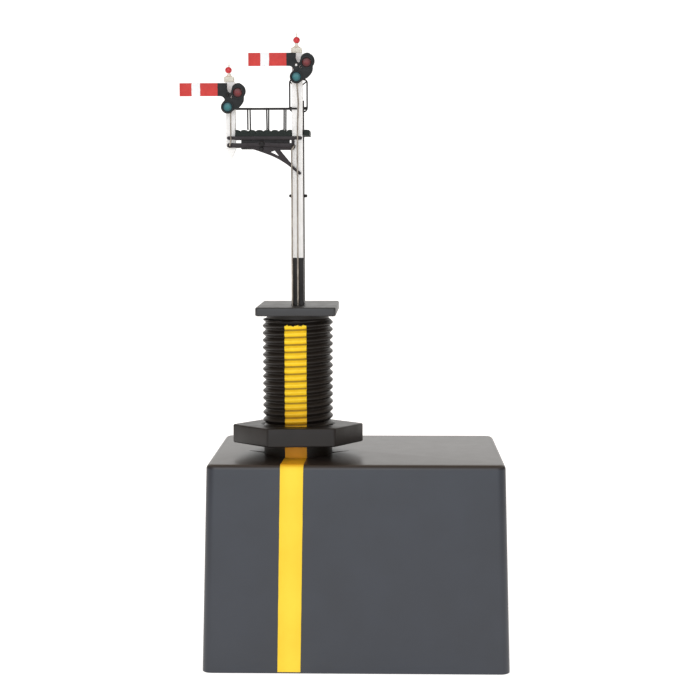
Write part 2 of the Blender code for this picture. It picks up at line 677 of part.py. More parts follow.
def finial(x, foot, half):
    """A stepped square cap, a neck, a ball and a spike, as one casting."""
    mesh = bmesh.new()
    sides = 12

    def ring(radius, height, square=False):
        points = []
        for p in circle((0, 0), 1, sides, pi / sides):
            scale = radius / max(abs(p[0]), abs(p[1])) if square else radius
            points.append(mesh.verts.new((x + p[0] * scale, p[1] * scale, foot + height)))
        return points

    rows = [
        ring(half + 0.05, 0, True),
        ring(half + 0.05, 0.98, True),
        ring(half * 0.55, 1.3, True),
        ring(0.36, 1.6),
        ring(0.33, 1.95),
        ring(0.5, 2.15),
        ring(0.68, 2.58),
        ring(0.5, 3.02),
        ring(0.15, 3.25),
        ring(0.1, 4.2),
    ]
    for low, high in zip(rows, rows[1:]):
        for k in range(sides):
            j = (k + 1) % sides
            mesh.faces.new((low[k], low[j], high[j], high[k]))
    mesh.faces.new(rows[0])
    mesh.faces.new(rows[-1])
    bmesh.ops.recalc_face_normals(mesh, faces=mesh.faces)
    return mesh


def build_posts():
    foot = square_post(MAST_X, MAST_HALF + 0.12, PLATE_HEAD + GAP, MAST_FOOT_TOP - GAP)
    for v in foot.verts:
        if v.co.z < PLATE_HEAD + 1:
            v.co.x = MAST_X + (v.co.x - MAST_X) * 1.12
    post = square_post(MAST_X, MAST_HALF, PLATE_HEAD + 0.5, MAST_HEAD)
    sleeve = node("mast_foot", foot, BLACK_PAINT)
    socket = square_post(MAST_X, MAST_HALF + GAP, PLATE_HEAD - 1, MAST_FOOT_TOP + 1)
    boolean(sleeve, cutter("mast_socket", socket))
    node("mast", post, WHITE_PAINT)
    node("doll", square_post(DOLL_X, DOLL_HALF, DOLL_FOOT, DOLL_HEAD, PENDANT_TIP), WHITE_PAINT)
    node("mast_finial", finial(0.05, MAST_HEAD + GAP, 1.03), CREAM_PAINT)
    node("doll_finial", finial(-13.4, DOLL_HEAD + GAP, 0.92), CREAM_PAINT)


def frame_outline():
    """An upper beam, a lower beam joined to it by a web at the mast, and a curved brace with a strut."""
    left, right = BEAM_LEFT, BEAM_RIGHT
    upper_low, upper_high = UPPER_BEAM
    lower_low, lower_high = LOWER_BEAM
    upper_mid, upper_half = (upper_low + upper_high) / 2, (upper_high - upper_low) / 2
    lower_mid, lower_half = (lower_low + lower_high) / 2, (lower_high - lower_low) / 2
    outline = arc((right - upper_half, upper_mid), upper_half, 90, -90, 4)
    outline += [(-0.42, upper_low), (-0.42, 103.0), (-0.62, 102.8)]
    outline += [(-3.45, 102.8), (-0.85, 99.72), (0.72, 98.4)]
    outline += arc((0.62, 98.12), 0.3, 60, -120, 4)
    outline += [(-0.76, 98.94), (-2.1, 99.95), (-3.43, 100.79), (-5.1, 101.6), (-6.91, 102.26)]
    outline += [(-8.4, 102.78), (-9.88, 103.12), (-11.0, lower_low)]
    outline += arc((left + lower_half, lower_mid), lower_half, 270, 90, 6)
    outline += [(-1.0, lower_high), (-1.0, upper_low)]
    outline += arc((left + upper_half, upper_mid), upper_half, 270, 90, 4)
    return outline


def build_bracket():
    window = [(-5.35, 102.42), (-3.5, 101.5), (-4.45, 102.7)]
    for name, layer in (("bracket_front", FRONT_FRAME_LAYER), ("bracket_rear", REAR_FRAME_LAYER)):
        holes = [window]
        if name == "bracket_front":
            holes.append(circle(ROCKER_PIVOT, 0.3, 12))
        node(name, prism([frame_outline(), *holes], layer), BLACK_PAINT, smooth=False)
    spacer = block(-11.1, -1.45, -1.05, 1.05, 102.9, DECK_FOOT - GAP)
    spacer = node("bracket_spacer", spacer, BLACK_PAINT, smooth=False)
    seat = pin(0.3, 3, (ROCKER_PIVOT[0], -2, ROCKER_PIVOT[1]), "Y", 12)
    boolean(spacer, cutter("spacer_pivot_hole", seat))


def build_deck():
    """Planks with rounded tops on a thin base, open at the mast and its ladder and at the doll."""
    left, right, front, rear = DECK_SIDES
    width = (right - left) / PLANK_COUNT
    profile = [(left, DECK_FOOT), (right, DECK_FOOT)]
    for i in reversed(range(PLANK_COUNT)):
        start = left + width * i
        bump = [(0.97, PLANK_FOOT), (0.88, DECK_HEAD - 0.12), (0.7, DECK_HEAD)]
        bump += [(0.3, DECK_HEAD), (0.12, DECK_HEAD - 0.12), (0.03, PLANK_FOOT)]
        profile += [(start + width * share, height) for share, height in bump]
    deck = node("landing_deck", prism([profile], (front, rear)), DECK_PAINT, smooth=False)
    mast_well = block(
        MAST_X - MAST_HALF - 0.1, MAST_X + MAST_HALF + 0.3, front - 1, LADDER_LAYER[1] + 0.35, 104, 108
    )
    boolean(deck, cutter("deck_mast_well", mast_well))
    doll_well = block(
        DOLL_X - DOLL_HALF - 1.0, DOLL_X + DOLL_HALF + 0.08, front - 1, DOLL_HALF + 0.1, 104, 108
    )
    boolean(deck, cutter("deck_doll_well", doll_well))


def rail_outline(left, right, foot, head):
    """A hand rail with posts under it, as a comb, drawn from the left end of its upper edge."""
    half = RAIL_WIDTH / 2
    underside = head - RAIL_WIDTH
    outline = [(left, underside), (left, head), (right, head), (right, underside)]
    for x in reversed(RAIL_POSTS):
        outline += [(x + half, underside), (x + half, foot)]
        outline += [(x - half, foot), (x - half, underside)]
    return outline


def build_rails():
    front = rail_outline(DOLL_X, MAST_X, DECK_HEAD + GAP, RAIL_HEAD)
    node("handrail_front", prism([front], (-1.4, -1.12)), BLACK_PAINT, smooth=False)
    rear = rail_outline(DECK_SIDES[0] + 0.2, REAR_RAIL_RIGHT, DECK_HEAD + GAP, REAR_RAIL_HEAD)
    node("handrail_rear", prism([rear], REAR_RAIL_LAYER), BLACK_PAINT, smooth=False)


def build_ladder():
    left, right = -0.95, 1.4
    foot, head = PLATE_HEAD + GAP, 112.7
    stile = 0.3
    rung = 0.28
    count = 23
    pitch = (head - foot - rung) / count
    openings = []
    for i in range(count):
        low = foot + rung + pitch * i
        openings.append(rectangle(left + stile, right - stile, low, low + pitch - rung))
    ladder = prism([rectangle(left, right, foot, head), *openings], LADDER_LAYER)
    node("ladder", ladder, BLACK_PAINT, smooth=False)
    stay = pin(0.32, 3.74, (-1.73, 1.45, 93.6), "X", 12, chamfer=0.08)
    node("ladder_stay", stay, BLACK_PAINT)
    # A guard frame on the mast's rear face, standing out at both sides of it
    outer = [(-1.0, 116.95), (-1.62, 116.5), (-1.62, 110.95), (-1.2, 110.3)]
    outer += [(1.5, 110.3), (2.2, 110.75), (2.2, 116.5), (1.5, 116.95)]
    inner = [(-0.9, 116.6), (-1.3, 116.3), (-1.3, 111.2), (-0.95, 110.9)]
    inner += [(1.45, 110.9), (1.88, 111.2), (1.88, 116.3), (1.4, 116.6)]
    node("guard_hoop", prism([outer, inner], (1.1, 1.35)), BLACK_PAINT, smooth=False)


# ---------------------------------------------------------------- arms and rods


def arm_outline():
    """The vane runs left from the pivot, and the spectacle plate hangs to its right beyond a notch."""
    outline = [(ARM_TIP, ARM_FOOT), (-1.3, ARM_FOOT)]
    outline += [(-0.75, -0.5), (-0.55, -0.95)]
    outline += arc(GREEN_LENS, 1.32, 133, 327, 10)
    outline += [(2.15, -2.55), (2.9, -1.8), (3.25, -1.1)]
    outline += arc((2.05, 0.75), 1.6, -38, 60, 7)
    outline += [(2.35, 2.38), (1.6, 2.26), (0.98, 1.7), (0.78, 0.75), (0.5, 0.42), (0.15, 0.75), (-0.05, 1.2), (-0.05, ARM_TOP)]
    outline += [(ARM_TIP, ARM_TOP)]
    return outline


def shifted(points, place):
    return [(a + place[0], b + place[1]) for a, b in points]


def build_arm(name, pivot, post_front):
    """A signal arm on its pivot, with its two lenses. The pivot's pin is fixed in the post."""
    turning = empty(f"{name}_arm_axis", (pivot[0], ARM_LAYER[0], pivot[1]))
    origin = (pivot[0], ARM_LAYER[0], pivot[1])
    openings = [
        circle((0, 0), PIVOT_RADIUS + SLIDE, 16),
        circle(RED_LENS, LENS_RADIUS + GAP, 20),
        circle(GREEN_LENS, LENS_RADIUS + GAP, 20),
        hook_hole(),
    ]
    loops = [shifted(loop, pivot) for loop in (arm_outline(), *openings)]
    node(f"{name}_arm", prism(loops, ARM_LAYER), RED_PAINT, turning, origin, smooth=False)
    middle = (ARM_LAYER[0] + ARM_LAYER[1]) / 2
    lenses = (("red", RED_LENS, RED_LENS_GLASS), ("green", GREEN_LENS, GREEN_LENS_GLASS))
    for colour, place, glass in lenses:
        x, z = pivot[0] + place[0], pivot[1] + place[1]
        profile = [(0, -0.13), (LENS_RADIUS, -0.08), (LENS_RADIUS, 0.12), (0, 0.12)]
        lens = turned(profile, (x, middle, z), "Y", 20)
        node(f"{name}_lens_{colour}", lens, glass, turning, origin)
    head = ARM_LAYER[0] - GAP - 0.16
    rivet = headed_pin(PIVOT_RADIUS, PIVOT_RADIUS + 0.14, head, post_front - GAP, 0.16, pivot)
    node(f"{name}_arm_pivot", rivet, STEEL)


def hook_hole():
    """A round hole about the middle of the hook's path across the arm."""
    reach = HOOK_REACH * (1 + 1 / cos(radians(ARM_SWING / 2))) / 2
    angle = -radians(ARM_SWING / 2)
    return circle((reach * cos(angle), reach * sin(angle)), ROD_RADIUS + 0.1, 16)


def build_rods():
    low = LIFTER_HEIGHT[1] - 1.1
    hook_front = ARM_LAYER[0] - 0.1
    main_top = MAIN_PIVOT[1] - HOOK_DROP
    main_hook_x = MAIN_PIVOT[0] + HOOK_REACH
    main = [(MAIN_ROD_X, ROD_Y, low), (MAIN_ROD_X, ROD_Y, 116.9), (main_hook_x, ROD_Y, 117.8)]
    main += [(main_hook_x, ROD_Y, main_top), (main_hook_x, hook_front, main_top)]
    origin = (MAIN_ROD_X, ROD_Y, LIFTER_HEIGHT[0])
    node("main_rod", wire(main, ROD_RADIUS), WIRE_METAL, bpy.data.objects["main_rod_slide"], origin)
    right_x, right_z = ROCKER_RIGHT
    branch = [(BRANCH_ROD_X, ROD_Y, low), (BRANCH_ROD_X, ROD_Y, right_z - 0.7)]
    branch += [(right_x, ROD_Y, right_z - 0.3)]
    branch += [(right_x, ROD_Y, right_z), (right_x, ROCKER_LAYER[1] + 0.02, right_z)]
    origin = (BRANCH_ROD_X, ROD_Y, LIFTER_HEIGHT[0])
    node("branch_rod", wire(branch, ROD_RADIUS), WIRE_METAL, bpy.data.objects["branch_rod_slide"], origin)
    left_x, left_z = ROCKER_LEFT
    doll_top = DOLL_PIVOT[1] - HOOK_DROP
    doll_hook_x = DOLL_PIVOT[0] + HOOK_REACH
    doll = [(left_x, ROCKER_LAYER[1] + 0.02, left_z), (left_x, ROD_Y, left_z)]
    doll += [(left_x, ROD_Y, left_z + 0.4)]
    doll += [(DOLL_ROD_X, ROD_Y, left_z + 0.8), (DOLL_ROD_X, ROD_Y, 111.3), (doll_hook_x, ROD_Y, 112.1)]
    doll += [(doll_hook_x, ROD_Y, doll_top), (doll_hook_x, hook_front, doll_top)]
    slide = empty("doll_rod_slide", (left_x, ROD_Y, left_z))
    node("doll_rod", wire(doll, ROD_RADIUS), WIRE_METAL, slide, (left_x, ROD_Y, left_z))


def build_rocker():
    """A lever in front of the bracket. It turns the branch rod's pull into the doll rod's push."""
    half = 0.42
    px, pz = ROCKER_PIVOT
    outline = arc(ROCKER_LEFT, half, 90, 270, 6)
    outline += [(px, pz - 0.5)]
    outline += arc(ROCKER_RIGHT, half, -90, 90, 6)
    outline += [(px + 0.8, pz + 0.25), (px + 0.45, pz + 0.5), (px - 0.45, pz + 0.5), (px - 0.8, pz + 0.25)]
    eyes = [eye(place) for place in (ROCKER_LEFT, ROCKER_RIGHT)]
    loops = [outline, circle(ROCKER_PIVOT, PIVOT_RADIUS + SLIDE, 16), *eyes]
    origin = (px, ROCKER_LAYER[0], pz)
    turning = empty("rocker_axis", origin)
    node("rocker", prism(loops, ROCKER_LAYER), BLACK_PAINT, turning, origin, smooth=False)
    front = ROCKER_LAYER[0] - GAP - 0.3
    node("rocker_pivot", headed_pin(PIVOT_RADIUS, 0.6, front, -0.5, 0.3, ROCKER_PIVOT), BLACK_PAINT)
    rivet = headed_pin(0.2, 0.42, -1.8, FRONT_FRAME_LAYER[0] - GAP, 0.2, (-7.04, 102.95))
    node("bracket_rivet", rivet, BLACK_PAINT)


def eye(place):
    """A slot along the lever that lets the rod's hook shift sideways as the lever tips."""
    half_length, half_height = 0.12, ROD_RADIUS + 0.04
    left = arc((place[0] - half_length, place[1]), half_height, 90, 270, 6)
    right = arc((place[0] + half_length, place[1]), half_height, -90, 90, 6)
    return left + right


def clear_scene():
    for item in list(bpy.data.objects):
        bpy.data.objects.remove(item, do_unlink=True)


def main():
    clear_scene()
    build_casing()
    build_cover()
    build_grommet()
    build_stripe()
    build_barrel()
    build_drive()
    build_posts()
    build_bracket()
    build_deck()
    build_rails()
    build_ladder()
    build_arm("main", MAIN_PIVOT, -MAST_HALF)
    build_arm("doll", DOLL_PIVOT, -DOLL_HALF)
    build_rods()
    build_rocker()


main()
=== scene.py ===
"""The looks of the model signal mast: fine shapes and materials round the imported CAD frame.

Shapes are worked out in millimetres in the frame's own axes, and made in metres.
"""

from math import atan2, cos, degrees, hypot, pi, radians, sin

import bmesh
import bpy
from mathutils import Matrix, Vector, noise
from mathutils.geometry import delaunay_2d_cdt


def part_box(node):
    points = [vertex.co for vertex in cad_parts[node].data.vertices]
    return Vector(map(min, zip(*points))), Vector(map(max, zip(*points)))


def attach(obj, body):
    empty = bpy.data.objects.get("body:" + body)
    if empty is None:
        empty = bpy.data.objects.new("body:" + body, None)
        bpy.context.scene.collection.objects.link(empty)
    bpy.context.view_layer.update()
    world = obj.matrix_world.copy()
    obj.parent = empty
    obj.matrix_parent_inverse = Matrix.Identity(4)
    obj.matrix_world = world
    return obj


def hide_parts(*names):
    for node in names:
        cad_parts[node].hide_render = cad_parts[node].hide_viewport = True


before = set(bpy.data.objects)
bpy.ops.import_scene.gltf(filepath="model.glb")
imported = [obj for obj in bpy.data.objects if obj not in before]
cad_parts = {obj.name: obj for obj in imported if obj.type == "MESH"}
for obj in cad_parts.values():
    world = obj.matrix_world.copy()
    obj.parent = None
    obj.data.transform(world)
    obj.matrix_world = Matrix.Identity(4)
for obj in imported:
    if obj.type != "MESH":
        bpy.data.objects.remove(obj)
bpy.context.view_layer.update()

MM = 0.001

# The camera: place in millimetres, angles in degrees
CAMERA_PLACE = (18.1, -300.0, 92.3)
CAMERA_PITCH = 5.69
CAMERA_YAW = 1.43
CAMERA_ROLL = -0.09
FOCAL_WIDTHS = 2.1184  # focal length over picture width
SENSOR_WIDTH = 36.0

# Casing
CASING_DRAFT = 1.08
CORNER_RADIUS = 2.0
RIM_RADIUS = 0.9
WALL = 1.6
BARREL_HOLE_RADIUS = 7.0
SLOT_START = (6.85, 0.05)
SLOT_LENGTH = 4.1
SLOT_ANGLE = 34.0
SLOT_WIDTH = 0.7
CABLE_HOLE_RADIUS = 2.4
GROMMET_FLANGE = 1.1
GROMMET_PLAY = 0.12
STRIPE_EDGE_LEFT, STRIPE_EDGE_RIGHT = -2.7, 1.85
STRIPE_FOOT_SHIFT = -0.7
STRIPE_BARREL_SHIFT = (0.38, 0.22)
STRIPE_LIFT = 0.03
STRIPE_FILM = 0.08

# Barrel, nut and plate
THREAD_PITCH = 1.47
THREAD_CREST, THREAD_ROOT = 7.12, 6.54
THREAD_FOOT = 44.6
NECK_RADIUS = 6.3
HEAD_DEPTH = 0.75
SHANK_RADIUS = 6.97
FLANGE_RADIUS = 9.6
FLANGE_HEIGHT = 2.16
BORE_PLAY = 0.12
NUT_BORE = 7.3
NUT_CORNER_RADIUS = 13.36
NUT_HEIGHT = 3.74
NUT_TURN = 6.4
NUT_LEAN = 3.45
STRIPE_MIDDLE = -0.08
STRIPE_HALF_WIDTH = 2.18
STRIPE_END = 67.85

# Light
SKY_REAR = (1.25, 1.24, 1.22)
SKY_FRONT = (1.3, 1.35, 1.42)
SKY_SIDES = (0.14, 0.1, 0.07)
SKY_ABOVE = (0.6, 0.49, 0.39)
KEY_PLACE = (-0.12, -0.75, 0.4)
KEY_TARGET = (0, 0, 0.07)
KEY_SIZE = 0.5
KEY_WATTS = 1.0
KEY_COLOUR = (0.96, 0.99, 1.0)
FLOOR_GLOW = 0.85

# Signal arms, from their pivots
PAINT_EDGES = (-7.1, -5.4, -1.95)
LENS_RADIUS = 0.92
LENS_HOLE = 0.86
RED_LENS = (2.05, 0.5)
GREEN_LENS = (0.0, -2.32)

# Wires, rails and caps
WIRE_RADIUS = 0.165
EYE_WIRE_RADIUS = 0.135
RAIL_RADIUS = 0.19
RAIL_POST_RADIUS = 0.15
RAIL_POSTS = (-9.72, -5.92, -2.42)
GUARD_RADIUS = 0.16
BALL_RADIUS = 0.68
BALL_HEIGHT = 2.58

SLIVER_WIDTH = 0.1  # openings narrower than this are left out of the flat plates


# ---------------------------------------------------------------- materials


def make_material(name, roughness=0.5, metallic=0.0, **sockets):
    made = bpy.data.materials.new(name)
    made.use_nodes = True
    shader = made.node_tree.nodes["Principled BSDF"]
    shader.inputs["Roughness"].default_value = roughness
    shader.inputs["Metallic"].default_value = metallic
    for socket, value in sockets.items():
        shader.inputs[socket.replace("_", " ")].default_value = value
    return made


def add_node(material, kind, **values):
    """A node with its settings and the values of its input sockets."""
    made = material.node_tree.nodes.new(kind)
    for key, value in values.items():
        if hasattr(made, key):
            setattr(made, key, value)
        else:
            made.inputs[key.replace("_", " ")].default_value = value
    return made


def join(material, source, target):
    material.node_tree.links.new(source, target)


def place_of(material):
    """The piece's own coordinates, which move with it."""
    return add_node(material, "ShaderNodeTexCoord").outputs["Object"]


def grain(material, size, detail=3.0, stretch=(1, 1, 1), rough=0.5):
    """A noise pattern with features of a size in millimetres, stretched along axes if asked."""
    mapping = add_node(material, "ShaderNodeMapping", Scale=[1.0 / s for s in stretch])
    join(material, place_of(material), mapping.inputs["Vector"])
    scale = 1.0 / (size * MM)
    pattern = add_node(material, "ShaderNodeTexNoise", Scale=scale, Detail=detail, Roughness=rough)
    join(material, mapping.outputs["Vector"], pattern.inputs["Vector"])
    return pattern.outputs["Fac"]


def remap(material, value, low, high, to_low, to_high):
    """A value made to run between two others as it goes from low to high."""
    ends = {"From_Min": low, "From_Max": high, "To_Min": to_low, "To_Max": to_high}
    made = add_node(material, "ShaderNodeMapRange", **ends)
    join(material, value, made.inputs["Value"])
    return made.outputs["Result"]


def blend_colours(material, factor, first, second):
    """First where factor is 0 and second where it is 1. Each is a colour or another node's output."""
    made = add_node(material, "ShaderNodeMix", data_type="RGBA")
    join(material, factor, made.inputs["Factor"])
    sockets = [s for s in made.inputs if s.type == "RGBA"]
    for socket, colour in zip(sockets, (first, second)):
        if isinstance(colour, tuple):
            socket.default_value = (*colour, 1.0)
        else:
            join(material, colour, socket)
    return next(s for s in made.outputs if s.type == "RGBA")


def arithmetic(material, operation, first, second=None):
    made = add_node(material, "ShaderNodeMath", operation=operation)
    for socket, value in zip(made.inputs, (first, second)):
        if value is None:
            continue
        if isinstance(value, (int, float)):
            socket.default_value = value
        else:
            join(material, value, socket)
    return made.outputs["Value"]


def coordinate(material, axis):
    split = add_node(material, "ShaderNodeSeparateXYZ")
    join(material, place_of(material), split.inputs["Vector"])
    return split.outputs[axis]


def to_shader(material, socket, value):
    join(material, value, material.node_tree.nodes["Principled BSDF"].inputs[socket])


def relief(material, height, depth):
    """A bump of a depth in millimetres."""
    made = add_node(material, "ShaderNodeBump", Strength=1.0, Distance=depth * MM)
    join(material, height, made.inputs["Height"])
    return made.outputs["Normal"]


def patches(material, size, detail=3.0, low=0.3, high=0.7, to=(0, 1)):
    """Soft patches of a size in millimetres, whose values run from one to another."""
    return remap(material, grain(material, size, detail), low, high, *to)


def distance_from(material, axes, centre):
    """The distance from a line along the third axis, given its place in millimetres."""
    squares = []
    for axis, at in zip(axes, centre):
        apart = arithmetic(material, "SUBTRACT", coordinate(material, axis), at * MM)
        squares.append(arithmetic(material, "MULTIPLY", apart, apart))
    return arithmetic(material, "SQRT", arithmetic(material, "ADD", *squares))


def coat_over(material, factor, colour):
    """Lays a colour over the one that the material has so far, where factor is 1."""
    base = material.node_tree.nodes["Principled BSDF"].inputs["Base Color"].links[0].from_socket
    to_shader(material, "Base Color", blend_colours(material, factor, base, colour))


def moulded(name, tones, roughness, grain_size, depth, drift=0.04, **sockets):
    """Moulded plastic: a fine even grain, with soft drifts of tone and gloss."""
    made = make_material(name, **sockets)
    to_shader(made, "Base Color", blend_colours(made, patches(made, 9.0, 4.0, 0.35, 0.65), *tones))
    to_shader(made, "Roughness", patches(made, 3.0, 5.0, to=(roughness - drift, roughness + drift)))
    to_shader(made, "Normal", relief(made, grain(made, grain_size, 2.0), depth))
    return made


def painted(name, tones, roughness, worn=None, amount=0.0, **sockets):
    """Brushed paint on metal: drifts of tone, faint brush marks and, where given, small worn places."""
    made = make_material(name, **sockets)
    colour = blend_colours(made, patches(made, 1.6, 5.0), *tones)
    if worn:
        bare = remap(made, grain(made, 0.55, 6.0, rough=0.7), 0.74 - amount, 0.77 - amount, 0, 1)
        colour = blend_colours(made, bare, colour, worn)
    to_shader(made, "Base Color", colour)
    to_shader(made, "Roughness", patches(made, 0.7, 4.0, to=(roughness - 0.08, roughness + 0.1)))
    to_shader(made, "Normal", relief(made, grain(made, 0.35), 0.01))
    return made


def metal(name, tones, roughness, stretch=(1, 1, 1)):
    """Drawn or brushed metal, with its marks along one axis and a light tarnish."""
    made = make_material(name, metallic=1.0)
    to_shader(made, "Base Color", blend_colours(made, patches(made, 1.8, 5.0, 0.35, 0.65), *tones))
    marks = grain(made, 0.12, 3.0, stretch)
    to_shader(made, "Roughness", remap(made, marks, 0.25, 0.75, roughness - 0.1, roughness + 0.12))
    to_shader(made, "Normal", relief(made, marks, 0.006))
    return made


def tinted_past(material, axis, low, high, colour):
    """Lays a colour over a material past a place along an axis, fading in between two places."""
    coat_over(material, remap(material, coordinate(material, axis), low * MM, high * MM, 0, 1), colour)
    return material


def striped_barrel():
    """Black moulded thread with a yellow stripe up its front: ragged at its end, with painted shade in its
    grooves and painted warm shade low down.
    """
    tones = ((0.009, 0.0065, 0.005), (0.013, 0.010, 0.0075))
    made = moulded("barrel_black", tones, 0.4, 0.2, 0.004, Specular_IOR_Level=0.3)
    wobble = patches(made, 0.9, 3.0, 0.2, 0.8, (-0.04 * MM, 0.04 * MM))
    across = arithmetic(made, "SUBTRACT", coordinate(made, "X"), STRIPE_MIDDLE * MM)
    side = arithmetic(made, "ABSOLUTE", arithmetic(made, "ADD", across, wobble))
    edge = STRIPE_HALF_WIDTH
    inside = remap(made, side, (edge - 0.03) * MM, (edge + 0.03) * MM, 1, 0)
    front = arithmetic(made, "LESS_THAN", coordinate(made, "Y"), 0.0)
    tear = patches(made, 0.8, 4.0, 0.2, 0.8, (-0.35 * MM, 0.35 * MM))
    height = arithmetic(made, "ADD", coordinate(made, "Z"), tear)
    below = remap(made, height, (STRIPE_END - 0.05) * MM, (STRIPE_END + 0.05) * MM, 1, 0)
    mask = arithmetic(made, "MULTIPLY", arithmetic(made, "MULTIPLY", inside, front), below)
    yellow = blend_colours(made, patches(made, 1.2, 4.0), (0.92, 0.6, 0.02), (0.97, 0.68, 0.03))
    # painted warm shade: the stripe turns orange low down, under the nut and just above it
    deep = remap(made, coordinate(made, "Z"), 43.5 * MM, 52.5 * MM, 1, 0)
    yellow = blend_colours(made, deep, yellow, (0.88, 0.38, 0.012))
    # painted shade: the stripe darkens towards the thread's roots, where shade falls in the grooves
    radius = distance_from(made, "XY", (0, 0))
    groove = remap(made, radius, (THREAD_ROOT + 0.03) * MM, (THREAD_ROOT + 0.22) * MM, 0.75, 0)
    coat_over(made, mask, blend_colours(made, groove, yellow, (0.1, 0.05, 0.004)))
    return made


def arm_paint(name, pivot_x):
    """A red arm with a white stripe, black from its root on, with hand-painted edges."""
    made = make_material(name, Specular_IOR_Level=0.25)
    reach = arithmetic(made, "SUBTRACT", coordinate(made, "X"), pivot_x * MM)
    wobble = patches(made, 0.8, 3.0, 0.2, 0.8, (-0.05 * MM, 0.05 * MM))
    reach = arithmetic(made, "ADD", reach, wobble)
    drift = patches(made, 1.4, 4.0)
    red = blend_colours(made, drift, (0.5, 0.035, 0.032), (0.6, 0.052, 0.045))
    white = blend_colours(made, drift, (0.8, 0.84, 0.86), (0.86, 0.89, 0.91))
    black = blend_colours(made, drift, (0.006, 0.008, 0.009), (0.014, 0.016, 0.018))
    colour = red
    soft = 0.04 * MM
    for edge, paint in zip(PAINT_EDGES, (white, red, black)):
        past = remap(made, reach, edge * MM - soft, edge * MM + soft, 0, 1)
        colour = blend_colours(made, past, colour, paint)
    to_shader(made, "Base Color", colour)
    to_shader(made, "Roughness", patches(made, 0.6, 4.0, to=(0.36, 0.52)))
    to_shader(made, "Normal", relief(made, grain(made, 0.3), 0.012))
    return made


def lens_glaze(name, rim, middle, centre):
    """A glazed lens: deep colour at its rim and lighter in the middle."""
    sockets = {"Coat_Weight": 0.2, "Coat_Roughness": 0.15, "Specular_IOR_Level": 0.3}
    made = make_material(name, roughness=0.25, **sockets)
    swirl = patches(made, 0.5, 3.0, to=(-0.1 * MM, 0.1 * MM))
    distance = arithmetic(made, "ADD", distance_from(made, "XZ", centre), swirl)
    fade = remap(made, distance, 0.3 * MM, LENS_RADIUS * MM, 0, 1)
    to_shader(made, "Base Color", blend_colours(made, fade, middle, rim))
    to_shader(made, "Normal", relief(made, grain(made, 0.4, 2.0), 0.01))
    return made


def planked(name):
    """Dark stained boards with a grain along them."""
    made = make_material(name, Specular_IOR_Level=0.2)
    streaks = grain(made, 0.25, 5.0, (1, 7, 1))
    dark = remap(made, streaks, 0.3, 0.7, 0, 1)
    to_shader(made, "Base Color", blend_colours(made, dark, (0.006, 0.009, 0.008), (0.022, 0.03, 0.027)))
    to_shader(made, "Roughness", remap(made, streaks, 0.3, 0.7, 0.5, 0.75))
    to_shader(made, "Normal", relief(made, streaks, 0.03))
    return made


def board_material():
    """Green solder resist with paler tracks."""
    made = make_material("board_resist")
    tracks = add_node(made, "ShaderNodeTexBrick", Scale=1.0 / (4 * MM))
    join(made, place_of(made), tracks.inputs["Vector"])
    colour = blend_colours(made, tracks.outputs["Fac"], (0.01, 0.12, 0.04), (0.05, 0.3, 0.12))
    to_shader(made, "Base Color", colour)
    to_shader(made, "Roughness", patches(made, 1.0, to=(0.3, 0.45)))
    return made


CASING_BLACK = moulded("casing_black", ((0.027, 0.032, 0.043), (0.03, 0.036, 0.049)), 0.33, 0.2, 0.002, 0.01)
tinted_past(CASING_BLACK, "Z", 40.3, 41.2, (0.036, 0.028, 0.024))  # painted warm reflection: browner on its top and its rim
COVER_BLACK = moulded("cover_black", ((0.022, 0.024, 0.028), (0.03, 0.032, 0.036)), 0.5, 0.25, 0.012)
PLATE_BLACK = moulded("plate_black", ((0.022, 0.023, 0.026), (0.03, 0.031, 0.034)), 0.42, 0.2, 0.004)
NUT_TONES = ((0.009, 0.007, 0.006), (0.013, 0.010, 0.009))
NUT_BLACK = moulded("nut_black", NUT_TONES, 0.42, 0.22, 0.005, Specular_IOR_Level=0.35)
BARREL_BLACK = striped_barrel()
YELLOW_FILM = moulded("yellow_film_gloss", ((0.93, 0.63, 0.02), (0.98, 0.69, 0.03)), 0.5, 0.5, 0.004)
tinted_past(YELLOW_FILM, "Z", 40.9, 41.35, (1.0, 0.5, 0.012))  # painted warm light from above: deeper orange on the casing's top
MAST_WHITE = painted("mast_white", ((0.84, 0.84, 0.83), (0.9, 0.9, 0.9)), 0.45, (0.5, 0.48, 0.44), -0.03)
IRON_TONES, IRON_WORN = ((0.008, 0.007, 0.007), (0.016, 0.014, 0.015)), (0.08, 0.06, 0.05)
IRON_BLACK = painted("iron_black", IRON_TONES, 0.42, IRON_WORN, -0.02, Specular_IOR_Level=0.25)
BRACKET_TONES = ((0.014, 0.01, 0.012), (0.024, 0.018, 0.021))
BRACKET_BLACK = painted("bracket_black", BRACKET_TONES, 0.42, Specular_IOR_Level=0.3)
DECK_BOARDS = planked("deck_boards")
CREAM = painted("cream", ((0.7, 0.68, 0.58), (0.8, 0.78, 0.7)), 0.5)
BALL_RED = painted("ball_red", ((0.55, 0.02, 0.03), (0.66, 0.04, 0.05)), 0.3)
WIRE = metal("drawn_wire", ((0.26, 0.23, 0.2), (0.42, 0.38, 0.33)), 0.4, (1, 1, 8))
tinted_past(WIRE, "Y", -2.38, -2.44, (0.01, 0.01, 0.01))  # blackened on the hooks through the arms
STEEL = metal("plated_steel", ((0.5, 0.5, 0.5), (0.6, 0.6, 0.6)), 0.3)
CAN = metal("can_metal", ((0.55, 0.55, 0.56), (0.66, 0.66, 0.67)), 0.35, (8, 1, 1))
NYLON = moulded("natural_nylon", ((0.72, 0.7, 0.64), (0.8, 0.78, 0.73)), 0.45, 0.4, 0.01)
RUBBER = moulded("grommet_black", ((0.012, 0.012, 0.012), (0.02, 0.02, 0.02)), 0.75, 0.15, 0.02)
BOARD = board_material()


# ---------------------------------------------------------------- mesh tools


def box_mm(node):
    """The lowest and highest corners of a CAD node, in millimetres."""
    low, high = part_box(node)
    return low / MM, high / MM


def middle(node):
    low, high = box_mm(node)
    return (low + high) / 2


def half_width(node):
    low, high = box_mm(node)
    return (high.x - low.x) / 2


